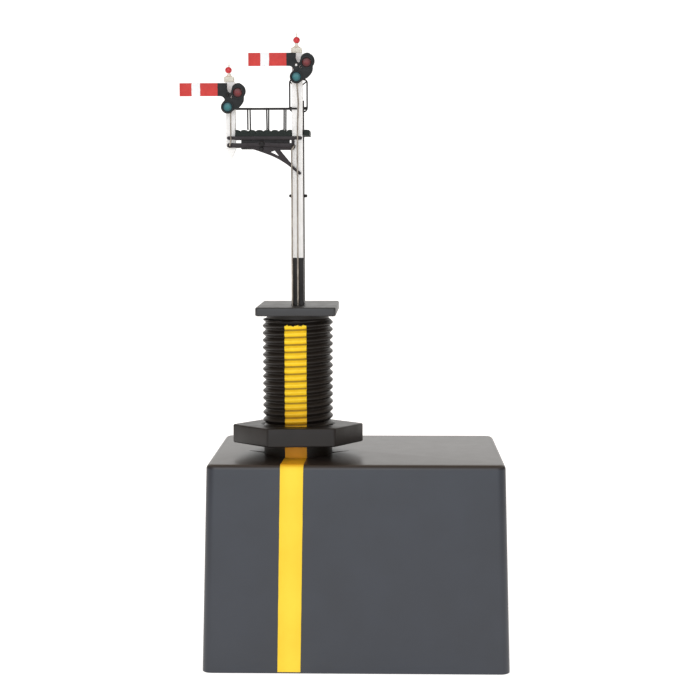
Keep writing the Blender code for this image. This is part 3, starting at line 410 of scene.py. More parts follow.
def to_object(name, mesh, material=None):
    """An object from a bmesh, which goes."""
    bmesh.ops.recalc_face_normals(mesh, faces=mesh.faces)
    data = bpy.data.meshes.new(name)
    mesh.to_mesh(data)
    mesh.free()
    if material:
        data.materials.append(material)
    made = bpy.data.objects.new(name, data)
    bpy.context.scene.collection.objects.link(made)
    return made


def evaluated(item):
    """A bmesh of an object with its modifiers or its curve's thickness applied. The object goes."""
    bpy.context.view_layer.update()
    graph = bpy.context.evaluated_depsgraph_get()
    data = bpy.data.meshes.new_from_object(item.evaluated_get(graph))
    mesh = bmesh.new()
    mesh.from_mesh(data)
    bpy.data.objects.remove(item, do_unlink=True)
    bpy.data.meshes.remove(data)
    return mesh


def cut(mesh, tools):
    """The mesh with each tool taken away from it."""
    target = to_object("work", mesh)
    helpers = []
    for tool in tools:
        helper = to_object("tool", tool)
        modifier = target.modifiers.new("cut", "BOOLEAN")
        modifier.operation = "DIFFERENCE"
        modifier.solver = "EXACT"
        modifier.object = helper
        helpers.append(helper)
    made = evaluated(target)
    for helper in helpers:
        bpy.data.objects.remove(helper, do_unlink=True)
    return made


def piece(name, mesh, body, material, nodes=(), sharp=32.0):
    """A finished piece from a bmesh in millimetres, riding on its body in place of its CAD nodes."""
    bmesh.ops.scale(mesh, verts=mesh.verts, vec=(MM, MM, MM))
    made = to_object(name, mesh, material)
    made.data.shade_smooth()
    made.data.set_sharp_from_angle(angle=radians(sharp))
    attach(made, body)
    if nodes:
        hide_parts(*nodes)
    return made


def round_edges(mesh, width, segments):
    """Rounds every edge that is sharper than 30 degrees."""
    bmesh.ops.dissolve_limit(mesh, angle_limit=radians(0.5), verts=mesh.verts, edges=mesh.edges)
    chosen = [e for e in mesh.edges if len(e.link_faces) == 2 and e.calc_face_angle(0) > radians(30)]
    bmesh.ops.bevel(
        mesh, geom=chosen, offset=width, segments=segments, profile=0.5, affect="EDGES", clamp_overlap=True
    )
    return mesh


def round_prism(mesh, corner, rim, steps, above=None):
    """Rounds a prism's uprights, then its level edges or only those above a height."""
    uprights = [e for e in mesh.edges if abs(e.verts[0].co.z - e.verts[1].co.z) > 1]
    bmesh.ops.bevel(mesh, geom=uprights, offset=corner, segments=steps[0], profile=0.5, affect="EDGES")
    if rim:
        rims = [e for e in mesh.edges if abs(e.verts[0].co.z - e.verts[1].co.z) < 0.01]
        if above is not None:
            rims = [e for e in rims if e.verts[0].co.z > above]
        bmesh.ops.bevel(mesh, geom=rims, offset=rim, segments=steps[1], profile=0.5, affect="EDGES")
    return mesh


def block(low, high):
    mesh = bmesh.new()
    bmesh.ops.create_cube(mesh, size=1.0)
    centre = (Vector(low) + Vector(high)) / 2
    size = Vector(high) - Vector(low)
    for v in mesh.verts:
        v.co = centre + Vector(a * b for a, b in zip(v.co, size))
    return mesh


def circle(centre, radius, segments):
    turns = [2 * pi * i / segments for i in range(segments)]
    return [(centre[0] + radius * cos(a), centre[1] + radius * sin(a)) for a in turns]


def turned(profile, centre=(0, 0, 0), axis="Z", segments=48):
    """A turned piece from (radius, height) points along an axis. A radius of 0 closes it on the axis."""
    mesh = bmesh.new()
    rings = []
    for radius, height in profile:
        if radius == 0:
            rings.append([mesh.verts.new((0, 0, height))])
        else:
            rings.append([mesh.verts.new((*p, height)) for p in circle((0, 0), radius, segments)])
    closed = profile[0][0] > 0
    for low, high in zip(rings, rings[1:] + rings[:1] if closed else rings[1:]):
        for i in range(segments):
            j = (i + 1) % segments
            corners = [low[i % len(low)], low[j % len(low)], high[j % len(high)], high[i % len(high)]]
            mesh.faces.new(list(dict.fromkeys(corners)))
    quarter, about = {"Z": (0, "Z"), "X": (1, "Y"), "Y": (-1, "X")}[axis]
    bmesh.ops.rotate(mesh, verts=mesh.verts, matrix=Matrix.Rotation(quarter * pi / 2, 3, about))
    bmesh.ops.translate(mesh, verts=mesh.verts, vec=centre)
    bmesh.ops.recalc_face_normals(mesh, faces=mesh.faces)
    return mesh


def plug(radius, low, high, centre=(0, 0, 0), axis="Z", segments=48):
    """A cylinder between two heights along an axis."""
    return turned([(0, low), (radius, low), (radius, high), (0, high)], centre, axis, segments)


def raised(profile, height):
    """A profile moved along its axis."""
    return [(radius, height + rise) for radius, rise in profile]


def lofted(rings):
    """A closed skin through rings that have the same number of places."""
    mesh = bmesh.new()
    built = [[mesh.verts.new(place) for place in ring] for ring in rings]
    for low, high in zip(built, built[1:]):
        for i in range(len(low)):
            j = (i + 1) % len(low)
            mesh.faces.new((low[i], low[j], high[j], high[i]))
    mesh.faces.new(built[0])
    mesh.faces.new(built[-1])
    bmesh.ops.recalc_face_normals(mesh, faces=mesh.faces)
    return mesh


def spread(first, last, count):
    """Evenly spaced values from the first to the last."""
    return [first + (last - first) * i / (count - 1) for i in range(count)]


def merge(*meshes):
    """Several bmeshes as one, as separate closed shapes that may overlap."""
    made = bmesh.new()
    for mesh in meshes:
        data = bpy.data.meshes.new("part")
        mesh.to_mesh(data)
        mesh.free()
        made.from_mesh(data)
        bpy.data.meshes.remove(data)
    return made


def sweep(path, radius):
    """A round wire along a path, with filled ends."""
    curve = bpy.data.curves.new("wire", "CURVE")
    curve.dimensions = "3D"
    curve.bevel_depth = radius
    curve.bevel_resolution = 3
    curve.use_fill_caps = True
    spline = curve.splines.new("POLY")
    spline.points.add(len(path) - 1)
    for point, place in zip(spline.points, path):
        point.co = (*place, 1.0)
    item = bpy.data.objects.new("wire", curve)
    bpy.context.scene.collection.objects.link(item)
    mesh = evaluated(item)
    bmesh.ops.remove_doubles(mesh, verts=mesh.verts, dist=0.0005)
    return mesh


def bent(path, bend):
    """A path with each of its corners rounded over a length."""
    steps = 6
    points = [Vector(p) for p in path]
    made = [points[0]]
    for before, corner, after in zip(points, points[1:], points[2:]):
        a, b = before - corner, after - corner
        reach = min(bend, a.length * 0.45, b.length * 0.45)
        start, end = corner + a.normalized() * reach, corner + b.normalized() * reach
        for i in range(steps + 1):
            t = i / steps
            made.append(start * (1 - t) ** 2 + corner * 2 * t * (1 - t) + end * t**2)
    made.append(points[-1])
    return made


def moved_in(loop, amount):
    """A loop shifted towards its left-hand side as it runs, with mitred corners."""
    points = [Vector(p) for p in loop]
    made = []
    for i, point in enumerate(points):
        before = (point - points[i - 1]).normalized()
        after = (points[(i + 1) % len(points)] - point).normalized()
        left = Vector((-before.y - after.y, before.x + after.x)).normalized()
        stretch = max(0.5, left.dot(Vector((-before.y, before.x))))
        made.append(point + left * (amount / stretch))
    return made


def signed_area(loop):
    """The area inside a loop, negative where it runs clockwise."""
    return sum(a[0] * b[1] - b[0] * a[1] for a, b in zip(loop, loop[1:] + loop[:1])) / 2


def encloses(rings, place):
    """True if a place lies within the outline and outside its openings."""
    crossings = 0
    for ring in rings:
        for a, b in zip(ring, ring[1:] + ring[:1]):
            if (a.y > place.y) != (b.y > place.y):
                crossings += a.x + (b.x - a.x) * (place.y - a.y) / (b.y - a.y) > place.x
    return crossings % 2 == 1


def fill(mesh, rings):
    """Triangles between a ring of vertices in an XZ plane and the rings of its openings."""
    flat = [[Vector((v.co.x, v.co.z)) for v in ring] for ring in rings]
    corners = [v for ring in rings for v in ring]
    points = [p for ring in flat for p in ring]
    edges = []
    for ring in rings:
        first = len(edges)
        edges += [(first + i, first + (i + 1) % len(ring)) for i in range(len(ring))]
    made = delaunay_2d_cdt(points, edges, [], 0, 1e-6)
    for face in made[2]:
        picked = [made[3][i][0] for i in face if made[3][i]]
        if len(picked) == 3 and encloses(flat, sum((points[i] for i in picked), Vector((0, 0))) / 3):
            mesh.faces.new([corners[i] for i in picked])


def plate(loops, front, rear, rim, steps=2):
    """A plate in the XZ plane between two depths, with rounded edges round its outline and openings."""
    rows = []
    for k in range(steps + 1):
        turn = pi / 2 * k / steps
        rows.append((rim * (1 - sin(turn)), rim * (1 - cos(turn))))
    layers = [(inset, front + depth) for inset, depth in rows]
    layers += [(inset, rear - depth) for inset, depth in reversed(rows)]
    outline = max(loops, key=lambda loop: abs(signed_area(loop)))
    mesh = bmesh.new()
    bands = []
    for loop in loops:
        forward = (signed_area(loop) > 0) == (loop is outline)
        loop = loop if forward else loop[::-1]
        band = []
        for inset, y in layers:
            band.append([mesh.verts.new((p.x, y, p.y)) for p in moved_in(loop, inset)])
        bands.append(band)
    for end in (0, -1):
        fill(mesh, [band[end] for band in bands])
    for band in bands:
        for low, high in zip(band, band[1:]):
            for i in range(len(low)):
                mesh.faces.new((low[i - 1], low[i], high[i], high[i - 1]))
    bmesh.ops.recalc_face_normals(mesh, faces=mesh.faces)
    return mesh


def node_loops(node):
    """The outline and the openings of a flat CAD plate that faces -Y, in millimetres."""
    mesh = bmesh.new()
    mesh.from_mesh(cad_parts[node].data)
    bmesh.ops.remove_doubles(mesh, verts=mesh.verts, dist=1e-6)
    facing = {f for f in mesh.faces if f.normal.y < -0.99}
    rims = [e for e in mesh.edges if len([f for f in e.link_faces if f in facing]) == 1]
    rims.sort(key=lambda e: min((round(v.co.x, 7), round(v.co.z, 7)) for v in e.verts))
    loops = []
    while rims:
        edge = rims.pop(0)
        start, here = sorted(edge.verts, key=lambda v: (round(v.co.x, 7), round(v.co.z, 7)))
        loop = [start, here]
        while here is not start:
            edge = next(e for e in here.link_edges if e in rims)
            rims.remove(edge)
            here = edge.other_vert(here)
            loop.append(here)
        loops.append([(v.co.x / MM, v.co.z / MM) for v in loop[:-1]])
    mesh.free()
    return [loop for loop in loops if not is_sliver(loop)]


def is_sliver(loop):
    """True for a loop much longer than it is wide."""
    length = sum(hypot(b[0] - a[0], b[1] - a[1]) for a, b in zip(loop, loop[1:] + loop[:1]))
    return abs(signed_area(loop)) < SLIVER_WIDTH * length / 2


def eased(loop):
    """More points along the stretches of a loop that turn gently. Corners stay sharp."""
    corner, steps = 50.0, 4
    points = [Vector(p) for p in loop]
    count = len(points)

    def turn(i):
        before, after = points[i] - points[i - 1], points[(i + 1) % count] - points[i]
        return abs(degrees(before.angle(after))) if before.length and after.length else 0.0

    kept = [points[i] for i in range(count) if turn(i) > 1.0]
    points, count = kept, len(kept)
    sharp = [turn(i) > corner for i in range(count)]
    made = []
    for i in range(count):
        j = (i + 1) % count
        along = points[j] - points[i]
        before, after = points[i] - points[i - 1], points[(j + 1) % count] - points[j]
        if sharp[i] and sharp[j]:
            made.append(points[i])
            continue
        first = along if sharp[i] else (along.normalized() + before.normalized()).normalized()
        last = along if sharp[j] else (along.normalized() + after.normalized()).normalized()
        first = first.normalized() * min(along.length, along.length if sharp[i] else before.length)
        last = last.normalized() * min(along.length, along.length if sharp[j] else after.length)
        for k in range(steps):
            t = k / steps
            a, b = 2 * t**3 - 3 * t**2 + 1, t**3 - 2 * t**2 + t
            c, d = -2 * t**3 + 3 * t**2, t**3 - t**2
            made.append(points[i] * a + first * b + points[j] * c + last * d)
    return [(p.x, p.y) for p in made]


def etched(node, rim):
    """A flat CAD plate again, with smooth curves and rounded edges."""
    low, high = box_mm(node)
    return plate([eased(loop) for loop in node_loops(node)], low.y, high.y, rim)


# ---------------------------------------------------------------- casing


def sloping_box(top, low, high, out_low, out_high):
    """A box between two heights, whose sides stand out from the top outline by an amount at each."""
    left, right, front, rear = top
    rings = []
    for height, out in ((low, out_low), (high, out_high)):
        near, far = front - out, rear + out
        corners = ((left - out, near), (right + out, near), (right + out, far), (left - out, far))
        rings.append([(*corner, height) for corner in corners])
    return lofted(rings)


def casing_top():
    """The casing's top outline and height, worked out from its foot."""
    low, high = box_mm("casing")
    outline = (low.x + CASING_DRAFT, high.x - CASING_DRAFT, low.y + CASING_DRAFT, high.y - CASING_DRAFT)
    return outline, high.z


def make_casing():
    """A hollow shell, open below, with a slotted hole for the barrel and an outlet in its rear wall."""
    top, height = casing_top()
    shell = sloping_box(top, 0, height, CASING_DRAFT, 0)
    round_prism(shell, CORNER_RADIUS, RIM_RADIUS, (8, 5), height - 0.001)
    roof = height - WALL
    hollow = sloping_box(top, -1, roof, CASING_DRAFT - WALL, -WALL)
    tools = [round_prism(hollow, 0.5, 0, (3, 0))]
    tools.append(plug(BARREL_HOLE_RADIUS, roof - 1, height + 1, segments=96))
    tools += [slot_tool(sign, roof - 1, height + 1) for sign in (-1, 1)]
    outlet = middle("cable_grommet")
    tools.append(plug(CABLE_HOLE_RADIUS, -4, 4, (outlet.x, top[3], outlet.z), "Y"))
    piece("casing_shell", cut(shell, tools), "frame", CASING_BLACK, ["casing"], 25)


def slot_tool(sign, low, high):
    """A tapering slot that runs out of the barrel hole towards one side and rearwards."""
    inner, outer = SLOT_WIDTH * 0.75, SLOT_WIDTH * 0.175
    outline = [(-0.4, -inner), (SLOT_LENGTH, -outer), (SLOT_LENGTH, outer), (-0.4, inner)]
    turn = radians(SLOT_ANGLE)
    along = Vector((sign * cos(turn), sin(turn)))
    side = Vector((-along.y, along.x))
    start = Vector((sign * SLOT_START[0], SLOT_START[1]))
    corners = [start + along * a + side * b for a, b in outline]
    return lofted([[(*corner, z) for corner in corners] for z in (low, high)])


def make_cover():
    """A cover with a countersunk hole at each corner, and its four screws."""
    low, high = box_mm("bottom_cover")
    cover = round_edges(block(low, high), 0.2, 2)
    seat = [(0, -1), (1.75, -1), (1.75, 0.0), (1.6, 0.15), (1.6, 0.7), (0.95, 1.2), (0.95, 3), (0, 3)]
    seats = []
    for i in range(1, 5):
        place = middle(f"cover_screw_{i}")
        seats.append(turned(seat, (place.x, place.y, 0), segments=40))
    piece("cover_panel", cut(cover, seats), "frame", COVER_BLACK, ["bottom_cover"], 30)
    for i in range(1, 5):
        make_screw(i)


def make_screw(index):
    """A countersunk screw with a cross recess, head down."""
    node = f"cover_screw_{index}"
    place = middle(node)
    root, crest, pitch = 0.52, 0.68, 0.45
    profile = [(0, 0.16), (1.2, 0.18), (1.4, 0.26), (1.44, 0.4), (1.42, 0.62), (crest, 1.2)]
    height = 1.45
    while height < 7.4:
        profile += [(root, height), (crest, height + 0.12), (crest, height + 0.2)]
        height += pitch
    profile += [(0.5, 7.6), (0, 8.15)]
    screw = turned(profile, (place.x, place.y, 0), segments=32)
    bars = []
    for x, y in ((0.85, 0.14), (0.14, 0.85)):
        bars.append(block((place.x - x, place.y - y, -1), (place.x + x, place.y + y, 0.62)))
    piece(f"case_screw_{index}", cut(screw, bars), "frame", STEEL, [node], 30)


def make_grommet():
    """A rubber ring with a groove for the casing's rear wall and a rounded outer flange."""
    low, high = box_mm("cable_grommet")
    centre = middle("cable_grommet")
    outer = half_width("cable_grommet")
    waist = CABLE_HOLE_RADIUS - 0.1
    flange = high.y - GROMMET_FLANGE
    collar = flange - WALL - GROMMET_PLAY
    profile = [(1.5, low.y), (outer - 0.3, low.y), (outer, low.y + 0.3), (outer, collar)]
    profile += [(waist, collar), (waist, flange), (outer, flange)]
    for i in range(1, 7):
        turn = pi / 2 * i / 6
        profile.append((outer - 1.0 + 1.0 * cos(turn), flange + 0.98 * sin(turn)))
    profile += [(1.8, high.y), (1.5, high.y - 0.25)]
    grommet = turned(profile, (centre.x, 0, centre.z), "Y", 56)
    piece("outlet_grommet", grommet, "frame", RUBBER, ["cable_grommet"], 40)


def make_stripe():
    """Yellow film up the casing's front, over its rim and back to the barrel, slightly uneven."""
    (_, _, front, _), height = casing_top()
    line = []
    for i in range(60):
        z = 0.3 + (height - RIM_RADIUS - 0.3) * i / 60
        line.append((front - CASING_DRAFT * (1 - z / height), z))
    for i in range(9):
        turn = radians(180 - 90 * i / 8)
        centre = (front + RIM_RADIUS, height - RIM_RADIUS)
        line.append((centre[0] + RIM_RADIUS * cos(turn), centre[1] + RIM_RADIUS * sin(turn)))
    barrel_side = -(THREAD_CREST + 0.1)
    for i in range(1, 13):
        line.append((front + RIM_RADIUS + (barrel_side - front - RIM_RADIUS) * i / 12, height))
    rings = []
    for i, (y, z) in enumerate(line):
        before, after = Vector(line[max(i - 1, 0)]), Vector(line[min(i + 1, len(line) - 1)])
        along = (after - before).normalized()
        out = Vector((-along.y, along.x))
        lean = STRIPE_FOOT_SHIFT * (1 - z / height)
        back = max(0.0, (y - front) / (barrel_side - front))
        uneven = 0.03 * noise.noise(Vector((0.0, y * 0.7, z * 0.35)))
        near = Vector((y, z)) + out * STRIPE_LIFT
        far = near + out * STRIPE_FILM
        shoulder = far - out * 0.02
        x0 = STRIPE_EDGE_LEFT + lean + uneven + STRIPE_BARREL_SHIFT[0] * back
        x1 = STRIPE_EDGE_RIGHT + lean - uneven + STRIPE_BARREL_SHIFT[1] * back
        ring = [(x0, near), (x1, near), (x1, shoulder), (x1 - 0.02, far), (x0 + 0.02, far), (x0, shoulder)]
        rings.append([(x, p.x, p.y) for x, p in ring])
    piece("stripe_film", lofted(rings), "frame", YELLOW_FILM, ["casing_stripe"], 50)


# ---------------------------------------------------------------- barrel, nut and plate


def thread_radius(phase):
    """The thread's radius at a share of its pitch: a rounded root, straight flanks and a rounded crest."""
    away = abs(phase % 1.0 - 0.5) * 2  # 0 at the crest's middle, 1 at the root's
    flank = min(1.0, max(0.0, (0.92 - away) / 0.76))
    eased_flank = flank * flank * (3 - 2 * flank) * 0.2 + flank * 0.8
    return THREAD_ROOT + (THREAD_CREST - THREAD_ROOT) * eased_flank


def make_barrel():
    """A helical grid that its ends clamp to level rings, closed by the shank, the flange and the bore."""
    segments, rows = 96, 14
    foot = THREAD_FOOT
    low, high = box_mm("threaded_barrel")
    head = high.z - HEAD_DEPTH
    turns = int((head - foot) / THREAD_PITCH) + 5
    mesh = bmesh.new()
    grid = []
    for k in range(turns * rows):
        line = []
        for j in range(segments):
            share = k / rows + j / segments - 1.5
            z = foot + THREAD_PITCH * share
            fade = min(1.0, max(0.0, (z - foot) / 0.5)) * min(1.0, max(0.0, (head - z) / 0.3))
            radius = NECK_RADIUS + (thread_radius(k / rows) - NECK_RADIUS) * fade
            turn = 2 * pi * j / segments
            z = min(max(z, foot), head)
            line.append(mesh.verts.new((radius * cos(turn), radius * sin(turn), z)))
        grid.append(line)
    for k in range(len(grid) - 1):
        for j in range(segments):
            if j < segments - 1:
                corners = (grid[k][j], grid[k][j + 1], grid[k + 1][j + 1], grid[k + 1][j])
            elif k + 1 + rows < len(grid):
                corners = (grid[k][j], grid[k + rows][0], grid[k + 1 + rows][0], grid[k + 1][j])
            else:
                continue
            mesh.faces.new(corners)
    bmesh.ops.remove_doubles(mesh, verts=mesh.verts, dist=1e-5)
    loose = [v for v in mesh.verts if not v.link_faces]
    bmesh.ops.delete(mesh, geom=loose, context="VERTS")
    rims = [e for e in mesh.edges if len(e.link_faces) == 1]
    lower = [e for e in rims if all(abs(v.co.z - foot) < 0.001 for v in e.verts)]
    upper = [e for e in rims if all(abs(v.co.z - head) < 0.001 for v in e.verts)]
    bore = half_width("rod_guide") + BORE_PLAY
    step = low.z + FLANGE_HEIGHT
    shank = [(SHANK_RADIUS, foot - 0.1), (SHANK_RADIUS, step)]
    flange = [(FLANGE_RADIUS, step), (FLANGE_RADIUS, low.z), (bore, low.z)]
    grow(mesh, lower, shank + flange)
    grow(mesh, upper, [(NECK_RADIUS, high.z - 0.02), (bore, high.z - 0.02)])
    open_rims = [e for e in mesh.edges if len(e.link_faces) == 1]
    bmesh.ops.bridge_loops(mesh, edges=open_rims)
    piece("barrel_thread", mesh, "frame", BARREL_BLACK, ["threaded_barrel"], 50)


def grow(mesh, rim, rings):
    """Extrudes a ring of edges through (radius, height) places."""
    edges = rim
    for radius, height in rings:
        made = bmesh.ops.extrude_edge_only(mesh, edges=edges)["geom"]
        edges = [g for g in made if isinstance(g, bmesh.types.BMEdge)]
        for v in {v for e in edges for v in e.verts}:
            turn = atan2(v.co.y, v.co.x)
            v.co = (radius * cos(turn), radius * sin(turn), height)


def make_nut():
    """A loose hexagon nut whose front stands a little higher than its rear."""
    half = NUT_HEIGHT / 2
    corners = []
    for i in range(6):
        turn = radians(NUT_TURN + 60 * i)
        corners.append((NUT_CORNER_RADIUS * cos(turn), NUT_CORNER_RADIUS * sin(turn)))
    mesh = lofted([[(*corner, z) for corner in corners] for z in (-half, half)])
    round_prism(mesh, 0.42, 0.32, (6, 5))
    chamfer = 0.35
    profile = [(0, -half - 1), (NUT_BORE + chamfer + 0.5, -half - 0.5), (NUT_BORE, chamfer - half)]
    profile += [(NUT_BORE, half - chamfer), (NUT_BORE + chamfer + 0.5, half + 0.5), (0, half + 1)]
    nut = cut(mesh, [turned(profile, segments=120)])
    bmesh.ops.rotate(nut, verts=nut.verts, matrix=Matrix.Rotation(radians(-NUT_LEAN), 3, "X"))
    bmesh.ops.translate(nut, verts=nut.verts, vec=(0, 0, middle("clamp_nut").z))
    piece("hex_nut", nut, "clamp_nut", NUT_BLACK, ["clamp_nut"], 25)


def make_top_plate():
    """A plate with rounded edges and a blind hole round each rod that comes up through it."""
    low, high = box_mm("top_plate")
    made = round_prism(block(low, high), 0.6, 0.32, (5, 4))
    hole = [(0, low.z - 1), (0.25, low.z - 1), (0.25, high.z - 0.1)]
    hole += [(0.5, high.z + 0.15), (0, high.z + 0.15)]
    holes = [turned(hole, (*rod_foot(rod).xy, 0), segments=24) for rod in ("main_rod", "branch_rod")]
    piece("mast_base_plate", cut(made, holes), "frame", PLATE_BLACK, ["top_plate"], 25)


# ---------------------------------------------------------------- mast and doll


def square_shaft(x, half, sections, corner=0.1, y=0.0):
    """A square shaft with rounded corners from (height, scale, shift) sections."""
    steps, flat = 4, half - corner
    outline = []
    for sx, sy, first in ((1, 1, 0), (-1, 1, 90), (-1, -1, 180), (1, -1, 270)):
        for i in range(steps + 1):
            turn = radians(first + 90 * i / steps)
            outline.append((sx * flat + corner * cos(turn), sy * flat + corner * sin(turn)))
    rings = []
    for height, scale, shift in sections:
        rings.append([(x + shift + px * scale, y + py * scale, height) for px, py in outline])
    return lofted(rings)


def make_mast():
    """A post that wanders very slightly, as a bent brass section does, in a sleeve with a wider foot."""
    high = box_mm("mast")[1]
    x, half = middle("mast").x, half_width("mast")
    foot_low, foot_high = box_mm("mast_foot")
    sections = [(foot_high.z - 0.3, 1, 0)]
    rows = 40
    for i in range(1, rows):
        z = foot_high.z + (high.z - foot_high.z) * i / rows
        wave = noise.noise(Vector((0, 0, z * 0.12))) * 0.015
        sections.append((z, 1 + wave * 0.3, wave))
    sections.append((high.z, 1, 0))
    piece("mast_post", square_shaft(x, half, sections), "frame", MAST_WHITE, ["mast"], 30)
    foot, head = foot_low.z, foot_high.z
    sections = [(foot, 1.14, -0.02), (foot + 0.25, 1.14, -0.02), (foot + 0.55, 1.06, 0)]
    sections += [(foot + 1.2, 1.01, 0), (foot + 5, 1.0, 0), (head - 0.08, 0.995, 0), (head, 0.96, 0)]
    sleeve = square_shaft(x, half + 0.1, sections)
    piece("mast_sleeve", sleeve, "frame", IRON_BLACK, ["mast_foot"], 30)


def make_doll():
    """A short post with a point under it."""
    low, high = box_mm("doll")
    x, half = middle("doll").x, half_width("doll")
    beam = box_mm("bracket_front")[1].z
    shoulder = low.z + 2.1
    sections = [(low.z, 0.06, 0), (low.z + 0.25, 0.2, 0), (shoulder - 0.35, 0.86, 0), (shoulder, 0.98, 0)]
    sections += [(shoulder + 0.1, 1, 0), (beam, 1, 0), (high.z, 1, 0)]
    piece("doll_post", square_shaft(x, half, sections), "frame", MAST_WHITE, ["doll"], 30)


def make_finial(name, node, post, shift=0.0, ball_shift=(0.0, 0.0)):
    """A square cap with a shallow pyramid, then a turned neck with a red ball and a spike."""
    z = box_mm(node)[0].z
    x, y = middle(node).x + shift, middle(node).y
    cap_half = half_width(node)
    ratio = half_width(post) / cap_half
    sections = [(z, ratio, 0), (z + 0.14, ratio, 0), (z + 0.2, 0.97, 0), (z + 0.3, 1, 0), (z + 0.84, 1, 0)]
    sections += [(z + 0.98, 0.95, 0), (z + 1.02, 0.8, 0), (z + 1.34, 0.42, 0), (z + 1.5, 0.3, 0)]
    cap = square_shaft(x, cap_half, sections, 0.12, y)
    neck = [(0, 1.3), (0.42, 1.32), (0.46, 1.42), (0.34, 1.56), (0.26, 1.7)]
    neck += [(0.25, 1.84), (0.36, 1.95), (0, 1.99)]
    spike = [(0, 3.1), (0.2, 3.12), (0.16, 3.3), (0.1, 3.45), (0.08, 4.1), (0, 4.18)]
    spindle = turned(raised(neck, z), (x, y, 0), segments=32)
    tip = turned(raised(spike, z), (x, y, 0), segments=20)
    piece(name, merge(cap, spindle, tip), "frame", CREAM, [node], 35)
    ball = []
    for i in range(19):
        turn = radians(-90 + 10 * i)
        ball.append((BALL_RADIUS * cos(turn) if 0 < i < 18 else 0, BALL_RADIUS * sin(turn) * 0.97))
    ball_z = z + BALL_HEIGHT + ball_shift[1]
    ball = turned(raised(ball, ball_z), (x + ball_shift[0], y, 0), segments=40)
    piece(f"{name}_ball", ball, "frame", BALL_RED, (), 40)


# ---------------------------------------------------------------- bracket and landing


def make_bracket():
    """Two flat frames with a block between them, held by a rivet."""
    for node in ("bracket_front", "bracket_rear"):
        piece(f"{node}_frame", etched(node, 0.02), "frame", BRACKET_BLACK, [node], 30)
    low, high = box_mm("bracket_spacer")
    spacer = round_edges(block(low, high), 0.08, 3)
    piece("bracket_block", spacer, "frame", IRON_BLACK, ["bracket_spacer"], 30)
    make_head("bracket_rivet_head", "bracket_rivet", 0.0)


def make_head(name, node, slot_depth):
    """A domed head on a shank, facing -Y, with a screwdriver slot if a depth is given."""
    low, high = box_mm(node)
    centre = middle(node)
    radius = half_width(node)
    shank = radius * 0.45
    depth = min(0.3, (high.y - low.y) * 0.6)
    rear = low.y + depth + 0.02
    profile = [(0, low.y)]
    for i in range(1, 8):
        turn = pi / 2 * i / 7
        profile.append((radius * sin(turn), low.y + depth * (1 - cos(turn))))
    profile += [(radius, rear), (shank, rear), (shank, high.y), (0, high.y)]
    head = turned(profile, (centre.x, 0, centre.z), "Y", 40)
    if slot_depth:
        tool = block((-radius, low.y - 1, -radius * 0.14), (radius, low.y + slot_depth, radius * 0.14))
        bmesh.ops.rotate(tool, verts=tool.verts, matrix=Matrix.Rotation(radians(35), 3, "Y"))
        bmesh.ops.translate(tool, verts=tool.verts, vec=(centre.x, 0, centre.z))
        head = cut(head, [tool])
    piece(name, head, "frame", IRON_BLACK, [node], 35)


def make_deck():
    """Round-topped boards on a thin bed, each a little different, cut out round the mast and the doll."""
    low, high = box_mm("landing_deck")
    count = 11
    width = (high.x - low.x) / count
    bed = low.z + 0.62
    boards = [block((low.x + 0.05, low.y + 0.04, low.z), (high.x - 0.05, high.y - 0.04, bed))]
    for i in range(count):
        left = low.x + width * i + 0.02
        right = left + width - 0.04
        drop = 0.03 * noise.noise(Vector((i * 3.1, 0, 0))) - 0.02
        front = low.y + 0.02 + 0.02 * abs(noise.noise(Vector((0, i * 2.3, 0))))
        top = high.z + min(0.0, drop)
        outline = [(left, low.z + 0.45), (right, low.z + 0.45)]
        for k in range(9):
            turn = radians(180 * k / 8)
            reach = (right - left) / 2
            arch = max(0.0, sin(turn)) ** (0.55 if i < count - 1 else 0.2)
            outline.append(((left + right) / 2 + reach * cos(turn), bed + (top - bed) * arch))
        boards.append(plate([outline], front, high.y - 0.03, 0.03, 1))
    mast_low, mast_high = box_mm("mast")
    doll_low, doll_high = box_mm("doll")
    ladder_rear = box_mm("ladder")[1].y
    wells = [
        ((mast_low.x - 0.1, low.y - 1, low.z - 1), (mast_high.x + 0.3, ladder_rear + 0.35, high.z + 1)),
        ((doll_low.x - 1.1, low.y - 1, low.z - 1), (doll_high.x + 0.08, doll_high.y + 0.1, high.z + 1)),
    ]
    boards = [cut(board, [block(*well) for well in wells]) for board in boards]
    piece("landing_boards", merge(*boards), "frame", DECK_BOARDS, ["landing_deck"], 30)


def make_rails():
    """Wire hand rails with turned stanchions."""
    deck_top = box_mm("landing_deck")[1].z
    knob = [(0, -0.2), (0.12, -0.17), (0.2, -0.06), (0.21, 0.05), (0.15, 0.15), (0, 0.2)]
    base = [(0, 0.02), (0.26, 0.02), (0.26, 0.1), (0.17, 0.16), (0, 0.2)]
    for node in ("handrail_front", "handrail_rear"):
        low, high = box_mm(node)
        y = (low.y + high.y) / 2
        z = high.z - RAIL_RADIUS
        rail = []
        for x in spread(low.x, high.x, 28):
            rail.append((x, y, z + 0.03 * noise.noise(Vector((x * 0.3, y, 0)))))
        shapes = [sweep(rail, RAIL_RADIUS)]
        for k, x in enumerate(RAIL_POSTS):
            lean = 0.12 * noise.noise(Vector((k * 2.7, y, 1.5)))
            post = []
            for t in spread(0, 1, 8):
                post.append((x + lean * (1 - t), y, deck_top + 0.02 + (z - deck_top) * t))
            shapes.append(sweep(post, RAIL_POST_RADIUS))
            shapes.append(turned(raised(knob, z), (x, y, 0), segments=20))
            shapes.append(turned(raised(base, deck_top), (x + lean, y, 0), segments=20))
        piece(f"{node}_wire", merge(*shapes), "frame", IRON_BLACK, [node], 40)


